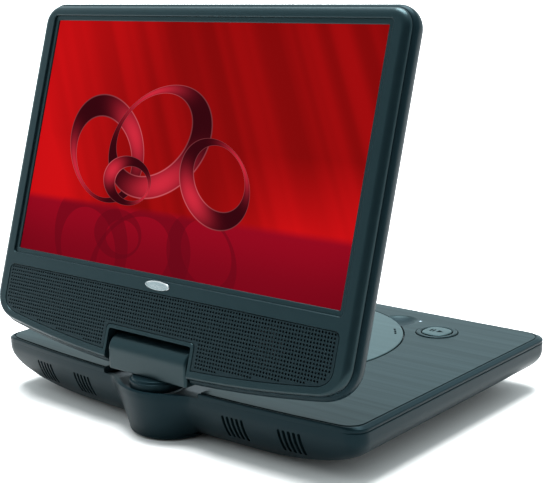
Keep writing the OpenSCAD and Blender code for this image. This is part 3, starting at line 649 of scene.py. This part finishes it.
def bottom_case():
    """The lower half of the base, with its pedestal, screw bosses, vents and side openings."""
    case = solid("bottom_case", case_walls())

    bosses = Shape()
    low, high = HULL_Z + 1, HULL_Z + 6.5
    for x, y in SCREW_PLACES:
        bosses.turn([(0, low), (BOSS_R, low), (BOSS_R, high), (0, high)], (x, y, 0), steps=32)
    cut(case, bosses, "UNION")

    holes = Shape()
    for x in VENTS_X:
        for i in range(-2, 3):
            vx = x + i * VENT_PITCH
            slot = slot_outline(VENT_LONG, VENT_WIDE, steps=8)
            pts = [(p[1] + vx, p[0] + VENT_Z) for p in slot]
            holes.prism(pts, bowed(x) - 5, bowed(x) + 16, "Y")
    low, high = HULL_Z - 2, HULL_Z + 5
    for x, y in SCREW_PLACES:
        holes.turn([(0, low), (SCREW_R, low), (SCREW_R, high), (0, high)], (x, y, 0), steps=24)
    side_openings(holes)
    cut(case, holes)
    return finish_piece(case, "base", SHELL,
                        ("bottom_shell", "pedestal_rim", "pedestal_foot"), 40)


def well_outline(r, back, steps=96):
    """The hinge well: a circle with a straight back edge and rounded ends."""
    pts = []
    for i in range(steps):
        a = 2 * math.pi * i / steps
        reach = smooth_min(r, (back - HINGE_Y) / math.sin(a), 3) if math.sin(a) > 0.01 else r
        pts.append((reach * math.cos(a), HINGE_Y + reach * math.sin(a)))
    return pts


def lid_outline(r, chord, steps=240):
    """The disc lid: a circle with one straight edge, with rounded ends."""
    pts = []
    for i in range(steps):
        a = 2 * math.pi * (i + 0.5) / steps
        reach = smooth_min(r, -chord / math.sin(a), 3) if math.sin(a) < -0.01 else r
        pts.append((reach * math.cos(a), DISC_Y + reach * math.sin(a)))
    return pts


def middle(node):
    """The middle of a CAD node seen from above, in the deck's frame."""
    low, high = corners(node)
    return ((low.x + high.x) / 2, (low.y + high.y) / 2 - CHORD_Y)


PAD, PAD_R, PAD_BORE = middle("nav_ring"), 11.4, 8.75
KEYS = [middle(f"key_{i}") for i in range(1, 6)]
KEY_L, KEY_W = 13.0, 5.4
# The status light: a small pale clear dot on the scoop's rim, which also serves as a painted highlight of that
# rim.
LED_GLINT, LED_GLINT_R = middle("status_led"), 0.8
SCOOP, SCOOP_R, SCOOP_DEPTH = (42.0, 152.0), 24.2, 2.4
GAP = 0.4


def flared(shape, outline, low, flare, top=0.0):
    """A cutter with upright walls that opens out a little at the surface."""
    rings = ((low, 0), (top - flare, 0), (top, flare), (top + 2, flare))
    shape.loft(level_rings(outline, rings))


def deck_openings(low, flare, top):
    """The openings through the deck, as one cutter."""
    s = Shape()
    flared(s, lambda g: well_outline(WELL_R + g, WELL_BACK + g), low, flare, top)
    flared(s, lambda g: lid_outline(LID_R + 0.8 + g, LID_CHORD + 1 + g), low, flare * 0.6, top)
    flared(s, lambda g: arc(*PAD, PAD_R + GAP + g, 0, 357, 119), low, flare, top)
    for x, y in KEYS:
        def slot(g, x=x, y=y):
            return slot_outline(KEY_L + GAP + 2 * g, KEY_W + GAP + 2 * g, x, y)

        flared(s, slot, low, flare * 0.6, top)
    flared(s, lambda g: arc(*LED_GLINT, LED_GLINT_R + g, 0, 350, 35), low, flare * 0.4, top)
    return s


def lid_pocket():
    """Room for the lid's hinge knuckles."""
    return Shape().box((-22.2, DISC_Y - 68.8, -12), (22.2, DISC_Y - 60.8, 2))


def scoop_cutter():
    """A shallow bowl whose edge runs out softly into the deck."""
    lip = 0.7
    edge = math.sqrt(2 * SCOOP_R * SCOOP_DEPTH - SCOOP_DEPTH ** 2)
    profile = [(0, -SCOOP_DEPTH)]
    for i in range(1, 15):
        r = (edge - lip) * i / 14
        profile.append((r, SCOOP_R - SCOOP_DEPTH - math.sqrt(SCOOP_R ** 2 - r * r)))
    profile += [(edge - lip / 3, -0.16), (edge + lip / 3, -0.045), (edge + lip, 0.02),
                (edge + lip, 3), (0, 3)]
    return Shape().turn(profile, (*SCOOP, 0))


def base_ring(z, inset, front=None):
    """The base's outline at height z, set in, and by another amount in front if given."""
    front = inset if front is None else front
    return [(p.x, p.y, z) for p in base_outline(front, inset, inset)]


def open_deck(obj, flare, top):
    """Cuts the deck's openings, the room for the lid's hinge and the finger scoop."""
    cut(obj, deck_openings(-6, flare, top))
    cut(obj, lid_pocket())
    cut(obj, scoop_cutter())


def deck_frame():
    """The rim that slopes up from the parting line to the deck panel."""
    levels = [(-3.4, 2.4), (PARTING, 2.4), (PARTING, 0.5, 0.05), (PARTING + 0.18, 0.45, 0.03),
              (PARTING + 0.35, 0.12, 0.01), (PARTING + 0.6, 0), (-1.75, 0), (-1.5, 0.04, 0),
              (-1.3, 0.14, 0), (-1.14, 0.3, 0), (-1.03, 0.5, 0.01), (-0.62, 1.4, 0.08),
              (-0.42, 1.8, 0.2), (-0.28, 2.1, 0.36), (-0.2, 2.4, 0.52), (-0.16, 2.6, 0.7),
              (-0.17, 2.75, 0.85), (-0.26, 2.86, 0.95), (-0.8, 2.9, 1.0)]
    rim = solid("deck_frame", Shape().loft([base_ring(*level) for level in levels]))
    open_deck(rim, 0.0005, -0.3)
    return finish_piece(rim, "base", SHELL, ("top_deck",), 25)


def deck_skin():
    """The brushed panel that lies in the rim."""
    levels = [(-0.79, 3.3, 1.75), (-0.25, 3.3, 1.75), (-0.08, 3.36, 1.8), (0, 3.55, 1.98)]
    panel = solid("deck_skin", Shape().loft([base_ring(*level) for level in levels]))
    open_deck(panel, 0.28, 0)
    return finish_piece(panel, "base", DECK_SKIN, ("deck_panel",), 25)


LID_TOP = 0.3


def disc_lid():
    """A round plate with one straight edge, a stiffening rib below and two hinge knuckles."""
    top = LID_TOP
    levels = [(top - 2, 0.5), (top - 1.85, 0.12), (top - 1.6, 0), (top - 0.55, 0),
              (top - 0.25, 0.1), (top - 0.08, 0.32), (top, 0.75)]
    lid = Shape().loft(level_rings(lambda i: lid_outline(LID_R - i, LID_CHORD - i), levels))
    section = ((68, top - 1.9), (70.2, top - 1.9), (70.2, -3), (70, -3.2), (68.2, -3.2), (68, -3))
    rib = []
    for i in range(97):
        a = math.radians(-35 + 250 * i / 96)
        rib.append([(r * math.cos(a), DISC_Y + r * math.sin(a), z) for r, z in section])
    lid.loft(rib)
    bore, r = 0.65, 1.42
    for side in (-1, 1):
        x0, x1 = sorted((side * 8, side * 21.8))
        knuckle = [(bore, x0), (r - 0.2, x0), (r, x0 + 0.2), (r, x1 - 0.2), (r - 0.2, x1), (bore, x1)]
        lid.turn(knuckle, (0, LID_AXIS_Y, LID_AXIS_Z), "X", 32)
        lid.box((x0, LID_AXIS_Y + 0.75, LID_AXIS_Z + 0.15), (x1, LID_AXIS_Y + 4, LID_AXIS_Z + 1.3))
    obj = solid("disc_lid_cover", lid)
    return finish_piece(obj, "lid", LID_SKIN, ("disc_lid",), 28)


def lid_mark():
    """Three short bars in a row along the lid's edge, a plain opening mark."""
    s = Shape()
    radius, bearing, pitch = 66.8, 37.7, 3.1
    for k in (-1, 0, 1):
        turn = Matrix.Rotation(math.radians(bearing + k * pitch), 3, "Z")
        pts = [turn @ Vector((radius + p[0], p[1], 0)) for p in box_outline(0.55, 1.4, 0.3)]
        s.prism([(p.x, p.y + DISC_Y) for p in pts], 0.28, 0.33)
    return finish_piece(solid("lid_mark", s), "lid", DARK, (), 30)


def nav_ring():
    """The control pad's ring, with the flange that holds it under the deck."""
    r, bore = PAD_R, PAD_BORE
    profile = [(bore, -3), (r, -3), (r, -0.1), (r - 0.1, 0.2), (r - 0.35, 0.42), (r - 0.7, 0.5),
               (9.5, 0.42), (9.05, 0.3), (8.82, 0.05), (bore, -0.3)]
    flange = [(bore, -5.4), (12.2, -5.4), (12.2, -4.0), (11, -4.0), (11, -2.9), (bore, -2.9)]
    s = Shape().turn(profile, (*PAD, 0), steps=128)
    s.turn(flange, (*PAD, 0), steps=96)
    return finish_piece(solid("nav_ring_cap", s), "ring", DECK_SKIN, ("nav_ring",), 35)


def lobed(r, z):
    """A circle that is very slightly square."""
    steps, depth = 120, 0.035
    pts = []
    for i in range(steps):
        a = 2 * math.pi * i / steps
        k = r * (1 - depth + depth * math.cos(4 * a + math.pi))
        pts.append((PAD[0] + k * math.cos(a), PAD[1] + k * math.sin(a), z))
    return pts


def ok_button():
    """The control pad's domed middle button."""
    profile = ((8.3, -5), (8.3, 0), (8.25, 0.3), (8.05, 0.52), (7.6, 0.64), (6.6, 0.69), (4, 0.7))
    s = Shape().loft([lobed(r, z) for r, z in profile])
    return finish_piece(solid("ok_button_cap", s), "ok", LID_SKIN, ("ok_button",), 35)


def pad_marks():
    """A plain play triangle and bars, moulded on the pad's middle button."""
    s = Shape()
    x, y = PAD
    s.prism([(x + 0.6, y - 1.9), (x + 4.2, y), (x + 0.6, y + 1.9)], 0.66, 0.74)
    for dx in (-3.6, -1.8):
        s.prism(box_outline(0.5, 1.9, 0.2, x + dx, y), 0.66, 0.74)
    return finish_piece(solid("pad_marks", s), "ok", DARK, (), 30)


def key_cap(number):
    """One key of the row, with the flange that holds it under the deck."""
    def outline(inset):
        return slot_outline(KEY_L - 2 * inset, KEY_W - 2 * inset, *KEYS[number - 1], 14)

    levels = ((-4.1, 0), (0.1, 0), (0.35, 0.1), (0.52, 0.35), (0.6, 0.8), (0.6, 1.4))
    s = Shape().loft(level_rings(outline, levels))
    s.loft(level_rings(outline, ((-5.4, -1), (-4.05, -1))))
    return finish_piece(solid(f"key_cap_{number}", s), f"key_{number}", DECK_SKIN,
                        (f"key_{number}",), 40)


# ---------- hinge ----------

BARREL_R, BARREL_W = 8.4, 55.0


def barrel_section(r, skirt):
    """Round above and square below, in y and z about the tilt axis."""
    left = [(-r, skirt + 0.8), (-r + 0.3, skirt + 0.2), (-r + 0.9, skirt)]
    right = [(r - 0.9, skirt), (r - 0.3, skirt + 0.2), (r, skirt + 0.8)]
    return arc(0, 0, r, 0, 180, 40) + left + right


def barrel(r, half, skirt, end_r):
    """The hinge's barrel along x, with its ends rounded off."""
    rings = []
    turns = [math.radians(a) for a in range(0, 91, 15)]
    ends = [(half - end_r + end_r * math.sin(a), end_r * (1 - math.cos(a))) for a in turns]
    for x, inset in [(-x, i) for x, i in reversed(ends)] + ends:
        rings.append([(x, y, z) for y, z in barrel_section(r - inset, skirt + inset * 0.25)])
    return Shape().loft(rings)


def hinge_cover(side):
    """One half of the barrel cover, in front of or behind the tilt axis."""
    name = "front" if side < 0 else "back"
    place = DECK @ Matrix.Translation(Vector((0, HINGE_Y, HINGE_Z)) * MM)
    skirt = 1.6 - HINGE_Z
    obj = solid(f"hinge_cover_{name}_skin", barrel(BARREL_R, BARREL_W / 2, skirt, 1.6), place)
    cut(obj, barrel(BARREL_R - 1.8, BARREL_W / 2 - 1.8, skirt + 1.8, 1.0))
    seam = 0.09
    y0, y1 = (-20, seam) if side > 0 else (-seam, 20)
    cut(obj, Shape().box((-40, y0, -20), (40, y1, 20)))
    shaft_r = 2.05
    cut(obj, Shape().turn([(0, -40), (shaft_r, -40), (shaft_r, 40), (0, 40)], axis="X", steps=40))
    neck_r, low, high = 7.9, -HINGE_Z - 1, 4.6 - HINGE_Z
    cut(obj, Shape().turn([(0, low), (neck_r, low), (neck_r, high), (0, high)], steps=64))
    return finish_piece(obj, "swivel", BEZEL, (f"hinge_cover_{name}",), 30)


def swivel_collar():
    """The stepped round collar that the barrel stands on."""
    profile = [(7.75, -3.9), (14.3, -3.9), (14.6, -3.6), (14.6, -0.1), (14.45, 0.12), (14.1, 0.25),
               (13.6, 0.3), (13.5, 0.55), (13.2, 1.3), (12.9, 1.52), (12.4, 1.6), (7.75, 1.6)]
    obj = solid("swivel_collar_skin", Shape().turn(profile, (0, HINGE_Y, 0), steps=128))
    return finish_piece(obj, "swivel", SHELL, ("swivel_collar",), 35)


# ---------- screen unit ----------

def screen_ring(y, inset, below=None):
    """The screen's outline at depth y."""
    return [(p.x, y, p.y) for p in screen_outline(inset, below)]


def notch_box(grow):
    """The notch for the hinge in the screen's lower edge, from face to back."""
    top, w, r = NOTCH_TOP + grow, NOTCH_HALF + grow, 1.2
    pts = [(-w, -20), (w, -20), (w, top - r)]
    pts += arc(w - r, top - r, r, 0, 90, 6)[1:]
    pts += arc(-w + r, top - r, r, 90, 180, 6)[:-1]
    pts += [(-w, top - r)]
    return Shape().prism(pts, -20.0, 20.0, "Y")


def tilt_bore():
    """Room for the tilt shafts either side of the notch."""
    half, r = 43.5, 3.2
    return Shape().turn([(0, -half), (r, -half), (r, half), (0, half)], axis="X", steps=40)


def hollow(levels, grow):
    """The room inside a shell, less the walls round the notch."""
    room = solid("room", Shape().loft([screen_ring(y, i) for y, i in levels]), SCREEN)
    return cut(room, notch_box(grow))


def window(grow, r):
    """The picture's outline, grown on every side."""
    return box_outline(LCD_W / 2 + grow, LCD_H / 2 + grow, r, 0, LCD_Z + LCD_H / 2)


def blacken(obj, y, top):
    """Sets aside the faces of the recess behind the grille, which are painted dark."""
    for face in obj.data.polygons:
        c = face.center / MM
        if abs(c.y - y) < 0.05 and c.z < top:
            face.material_index = 1


SPEAKER_X, SPEAKER_Z, SPEAKER_R = 75, 17, 11


def front_bezel():
    """The screen's front: a rounded edge, a stepped window and a shallow bed for the grille."""
    edge = [(SEAM_Y, 2.25, 2.25), (SEAM_Y - 0.12, 2.05, 2.05)]
    for a in range(0, 91, 9):
        c, s = math.cos(math.radians(a)), math.sin(math.radians(a))
        edge.append((SEAM_Y - 0.25 - (3.4 - 0.25) * s, 6.2 - 4.2 * c, 3.6 - 1.6 * c))
    bezel = solid("screen_front", Shape().loft([screen_ring(*e) for e in edge]), SCREEN)
    cut_object(bezel, hollow([(2 - FACE, 3.8), (SEAM_Y + 2, 3.8)], 1.6))
    recess = ((-FACE - 2, 0.35), (-FACE - 0.001, 0.35), (0.35 - FACE, 0), (1.2 - FACE, 0))
    cut(bezel, Shape().loft(upright_rings(lambda g: window(2.6 + g, 1.6 + g), recess)))
    opening = ((-FACE - 2, 0.3), (1.2 - FACE, 0.3), (1.5 - FACE, 0), (2, 0))
    cut(bezel, Shape().loft(upright_rings(lambda g: window(g, 0.5 + g), opening)))
    bed = ((-FACE - 2, -0.15), (0 - FACE, -0.15), (0.2 - FACE, 0), (1 - FACE, 0))
    cut(bezel, Shape().loft(upright_rings(grille_outline, bed)))
    speakers = Shape()
    low, high = -FACE - 1, 5 - FACE
    for x in (-SPEAKER_X, SPEAKER_X):
        profile = [(0, low), (SPEAKER_R, low), (SPEAKER_R, high), (0, high)]
        speakers.turn(profile, (x, 0, SPEAKER_Z), "Y", 64)
    cut(bezel, speakers)
    cut(bezel, notch_box(0))
    cut(bezel, tilt_bore())
    blacken(bezel, 1 - FACE, GRILLE_TOP)
    return finish_piece(bezel, "screen", BEZEL, ("front_bezel",), 28)


def grille_holes():
    """The middles of the grille's holes: a square field inside its outline, less the bay."""
    margin, pitch_x, pitch_z, top = 1.5, 1.82, 1.84, 29.6
    bay, bay_top = NOTCH_HALF + NOTCH_LIP + margin, NOTCH_TOP + NOTCH_LIP + margin
    w, corner_r = GRILLE_HALF - margin, 8.0
    places = []
    for row in range(18):
        z = top - row * pitch_z
        for column in range(-63, 63):
            x = (column + 0.5) * pitch_x
            low = GRILLE_BOTTOM + margin + SCREEN_BOW * (x / HALF_W) ** 2
            over = max(abs(x) - (w - corner_r), 0)
            low += corner_r - math.sqrt(max(corner_r * corner_r - over * over, 0))
            in_bay = abs(x) < bay and z < bay_top
            if z >= low and abs(x) <= w and not in_bay:
                places.append((x, z))
    return places


def speaker_grille():
    """A thin plate with a square field of small round holes."""
    curve = bpy.data.curves.new("grille", "CURVE")
    curve.dimensions, curve.fill_mode = "2D", "BOTH"
    curve.extrude = 0.36 * MM

    def loop(points):
        line = curve.splines.new("POLY")
        line.points.add(len(points) - 1)
        for p, q in zip(line.points, points):
            p.co = (q[0] * MM, q[1] * MM, 0, 1)
        line.use_cyclic_u = True

    loop(grille_outline(0.35))
    hole_r, sides = 0.62, 10
    angles = [2 * math.pi * k / sides for k in range(sides)]
    for x, z in grille_holes():
        loop([(x + hole_r * math.cos(a), z + hole_r * math.sin(a)) for a in angles])
    flat = bpy.data.objects.new("grille_flat", curve)
    bpy.context.scene.collection.objects.link(flat)
    bpy.context.view_layer.update()
    depsgraph = bpy.context.evaluated_depsgraph_get()
    data = bpy.data.meshes.new_from_object(flat.evaluated_get(depsgraph))
    bpy.data.objects.remove(flat)
    bm = bmesh.new()
    bm.from_mesh(data)
    bmesh.ops.remove_doubles(bm, verts=bm.verts, dist=1e-7)
    upright = Matrix.Translation((0, (0.6 - FACE) * MM, 0)) @ Matrix.Rotation(math.pi / 2, 4, "X")
    bmesh.ops.transform(bm, matrix=upright, verts=bm.verts)
    bmesh.ops.recalc_face_normals(bm, faces=bm.faces)
    bm.to_mesh(data)
    bm.free()
    obj = bpy.data.objects.new("grille_plate", data)
    bpy.context.scene.collection.objects.link(obj)
    obj.matrix_world = SCREEN
    data.materials.append(GRILLE)
    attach(obj, "screen")
    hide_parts("speaker_grille")
    return obj


SCREEN_SCREWS = [(-100, 22), (100, 22), (-100, 150), (100, 150), (-52, 22), (52, 22)]


def back_shell():
    """The screen's back: a hollow shell that curves in on every side, with its screw holes."""
    levels = [(SEAM_Y, 2.2), (SEAM_Y, 1.9), (SEAM_Y + 0.15, 1.6), (SEAM_Y + 0.5, 1.0),
              (SEAM_Y + 1.1, 0.4), (-3.2, 0.08), (-2.6, 0)]
    for k in range(1, 25):
        p = bezier((-2.6, 0), (4.6, 0), (BACK, 4), (BACK, 40), k / 24)
        levels.append((p.x, p.y))
    shell = solid("screen_back", Shape().loft([screen_ring(*level) for level in levels]), SCREEN)
    room = [(BACK - 1.8, 36), (6, 20), (5, 10), (3.6, 5.6), (1.5, 3.4), (-1, 2.6), (SEAM_Y - 1, 2.6)]
    cut_object(shell, hollow(room, 1.5))
    cut(shell, notch_box(0))
    holes = tilt_bore()
    low, high = 3, BACK + 1
    for x, z in SCREEN_SCREWS:
        holes.turn([(0, low), (SCREW_R, low), (SCREW_R, high), (0, high)], (x, 0, z), "Y", 24)
    cut(shell, holes)
    return finish_piece(shell, "screen", SHELL, ("back_shell",), 28)


def picture():
    """A plain red picture: a glow on the left, slanting streaks, a floor and ribbon loops."""
    s = Surface("screen_picture", (0.001, 0.0005, 0.0005), 0.3, Specular_IOR_Level=0.0)
    x, z = s.axis(0), s.axis(2) - LCD_Z
    u, v = x / LCD_W, z / LCD_H
    slant = s.tree.nodes.new("ShaderNodeTexNoise")
    slant.noise_dimensions = "1D"
    slant.inputs["Scale"].default_value = 0.05
    slant.inputs["Detail"].default_value = 1.5
    s.link((x + z * 0.55).socket, slant.inputs["W"])
    streak = Field(s.tree, slant.outputs["Fac"]).step(0.35, 0.7)
    left = (u * -2.6 - 0.28).clamped()
    horizon = (v * -3.4 + 1.75).clamped() * ((u + 0.08).math("ABSOLUTE") * 3.2 - 0.5).clamped()
    light = (left * 0.75 + horizon * 0.9 + streak * 0.3).clamped()
    wall = s.mix((0.235, 0.0022, 0.0025), (0.62, 0.0045, 0.0062), light)
    ground = s.mix((0.205, 0.0018, 0.0095), (0.30, 0.0022, 0.0125), v.step(0.0, 0.24))
    floor = v.step(0.255, 0.215)
    base = s.mix(wall, ground, floor)

    def ribbon(cx, cz, r, squash, bend, width, turn, mirror=False):
        """Lays one loop over the picture so far, or its faint mirror image in the floor."""
        nonlocal base
        dx, dz = x - cx, (z - cz) / squash
        tilted = dx + dz * bend
        angle = dz.math("ARCTAN2", tilted)
        half = ((angle + turn).math("SINE") * 0.42 + 0.58) * width
        across = ((tilted * tilted + dz * dz).math("SQRT") - r) / half
        band = across.math("ABSOLUTE").step(1.0, 0.93)
        sheen = (angle * 2.0 + turn * 1.7).math("SINE") * 0.5 + 0.5
        sheen = sheen * sheen * (across * across * -0.55 + 1.0)
        if mirror:
            base = s.mix(base, (0.13, 0.0018, 0.008), band * floor * 0.55)
            return
        colour = s.mix((0.035, 0.0012, 0.004), (0.62, 0.022, 0.045), sheen)
        rim = across.math("ABSOLUTE").step(0.84, 0.9) * (sheen * 0.7 + 0.2)
        base = s.mix(base, s.mix(colour, (0.78, 0.16, 0.19), rim), band)

    loops = (
        (-58, 58, 25, 1.0, 0.25, 6.5, 0.4),
        (-22, 68, 30, 0.86, -0.2, 8.5, 2.2),
        (24, 50, 20, 0.95, 0.3, 6.0, 4.0),
        (-36, 44, 15, 0.72, 0.1, 5.0, 5.2),
    )
    for cx, cz, *rest in loops:
        ribbon(cx, 38 - cz * 0.5, *rest, mirror=True)
    for loop in loops:
        ribbon(*loop)
    vignette = u * u * 1.6 + (v - 0.6) * (v - 0.6) * 0.6
    base = s.mix(base, (0.10, 0.001, 0.003), vignette.step(0.3, 1.1) * 0.6)
    s.link(base, s.bsdf.inputs["Emission Color"])
    s.bsdf.inputs["Emission Strength"].default_value = 1.0
    s.bump(s.noise(0.5, 1, seed=13.0), 0.001)
    return s.material


def display():
    """The display's glass, which shows the picture."""
    levels = ((LCD_Y + 2.2, 0), (LCD_Y + 0.2, 0), (LCD_Y, 0.2))
    s = Shape().loft(upright_rings(lambda g: window(3 - g, 1.0), levels))
    return finish_piece(solid("display_panel", s, SCREEN), "screen", picture(),
                        ("lcd_panel",), 30)


def badge():
    """A blank oval plate with a raised rim and a shallow dome."""
    w, h, z0 = 8.5, 2.35, 34.9
    profile = ((0.02, 1.0), (-0.3, 1.0), (-0.44, 0.97), (-0.46, 0.93), (-0.34, 0.88),
               (-0.3, 0.84), (-0.38, 0.6), (-0.42, 0.2))
    angles = [2 * math.pi * i / 72 for i in range(72)]
    rings = []
    for y, k in profile:
        high = h - w * (1 - k) * 0.35
        rings.append([(w * k * math.cos(a), y - FACE, z0 + high * math.sin(a)) for a in angles])
    return finish_piece(solid("badge_plate", Shape().loft(rings), SCREEN), "screen", BADGE,
                        ("badge",), 40)


# ---------- build ----------

bottom_case()
deck_frame()
deck_skin()
disc_lid()
lid_mark()
nav_ring()
ok_button()
pad_marks()
for key in range(1, 6):
    key_cap(key)
hinge_cover(-1)
hinge_cover(1)
swivel_collar()
front_bezel()
speaker_grille()
back_shell()
display()
badge()

# The material of each CAD node that stays in view, by the record's slot.
FINISH = {
    "shell_plastic": SHELL, "deck_plastic": DECK_SKIN, "lid_plastic": LID_SKIN, "dark_plastic": DARK,
    "steel": STEEL, "circuit_board": circuit_board(), "battery_wrap": wrap(), "foot_rubber": RUBBER,
    "badge_trim": BADGE, "clear_lens": lens(), "brass_screw": BRASS, "hub_plastic": HUB,
}
for material in frame["record"]["materials"]:
    for name in material.get("nodes", []):
        node = frame["nodes"][name]
        if material["slot"] in FINISH and not node.hide_render:
            node.data.materials.clear()
            node.data.materials.append(FINISH[material["slot"]])
            node.data.shade_smooth()
            node.data.set_sharp_from_angle(angle=math.radians(30))

# ---------- studio ----------

# Where the photograph was taken from: place in metres, angles in degrees, focal length in mm.
CAMERA_PLACE = (0.4231, -0.4871, 0.2277)
CAMERA_YAW, CAMERA_PITCH, CAMERA_ROLL = 40.23, 12.66, -1.35
CAMERA_LENS, CAMERA_SHIFT = 79.6, 0.0027


def floor():
    """A wide pale card, level with the feet."""
    s = Surface("floor_card", (0.94, 0.80, 0.77), 0.9, Specular_IOR_Level=0.1)
    s.shades(s.noise(900, 2, seed=14.0), 0.006)
    data = bpy.data.meshes.new("floor")
    size = 60
    sheet = [(-size, -size, 0), (size, -size, 0), (size, size, 0), (-size, size, 0)]
    data.from_pydata(sheet, [], [(0, 1, 2, 3)])
    data.materials.append(s.material)
    obj = bpy.data.objects.new("floor", data)
    bpy.context.scene.collection.objects.link(obj)


def sky():
    """Soft light that is brightest above, behind and to the left."""
    world = bpy.data.worlds.new("studio")
    bpy.context.scene.world = world
    world.use_nodes = True
    tree = world.node_tree
    place = tree.nodes.new("ShaderNodeTexCoord")
    along = tree.nodes.new("ShaderNodeVectorMath")
    along.operation = "DOT_PRODUCT"
    along.inputs[1].default_value = Vector((0.55, -0.83, 0.05)).normalized()
    tree.links.new(place.outputs["Generated"], along.inputs[0])
    light = Field(tree, along.outputs["Value"]).step(0.85, 0.15).ramp(0.1, 1.6)
    back = tree.nodes["Background"]
    back.inputs["Color"].default_value = (0.74, 0.95, 1.0, 1)
    tree.links.new(light.socket, back.inputs["Strength"])


def sun(name, strength, angle, bearing, height):
    """A soft sun. The bearing is measured from +Y towards +X, in degrees."""
    data = bpy.data.lights.new(name, "SUN")
    data.energy, data.angle = strength, math.radians(angle)
    data.color = (0.80, 0.96, 1.0)
    obj = bpy.data.objects.new(name, data)
    bpy.context.scene.collection.objects.link(obj)
    b, e = math.radians(bearing), math.radians(height)
    towards = Vector((math.sin(b) * math.cos(e), math.cos(b) * math.cos(e), math.sin(e)))
    obj.rotation_mode = "QUATERNION"
    obj.rotation_quaternion = towards.to_track_quat("Z", "Y")


def camera():
    """Stands where the photograph was taken from."""
    yaw, pitch, roll = (math.radians(a) for a in (CAMERA_YAW, CAMERA_PITCH, CAMERA_ROLL))
    level = math.cos(pitch)
    forward = Vector((-math.sin(yaw) * level, math.cos(yaw) * level, -math.sin(pitch)))
    right = Vector((math.cos(yaw), math.sin(yaw), 0))
    up = right.cross(forward)
    across = right * math.cos(roll) + up * math.sin(roll)
    upright = up * math.cos(roll) - right * math.sin(roll)
    data = bpy.data.cameras.new("camera")
    data.lens, data.sensor_width = CAMERA_LENS, 36
    data.shift_y = CAMERA_SHIFT
    data.clip_start, data.clip_end = 0.01, 200
    obj = bpy.data.objects.new("camera", data)
    bpy.context.scene.collection.objects.link(obj)
    turned = Matrix((across, upright, -forward)).transposed().to_4x4()
    obj.matrix_world = Matrix.Translation(CAMERA_PLACE) @ turned
    bpy.context.scene.camera = obj


floor()
sky()
sun("key", 9.2, 40, -40, 76)
camera()
bpy.context.scene.view_settings.view_transform = "Standard"
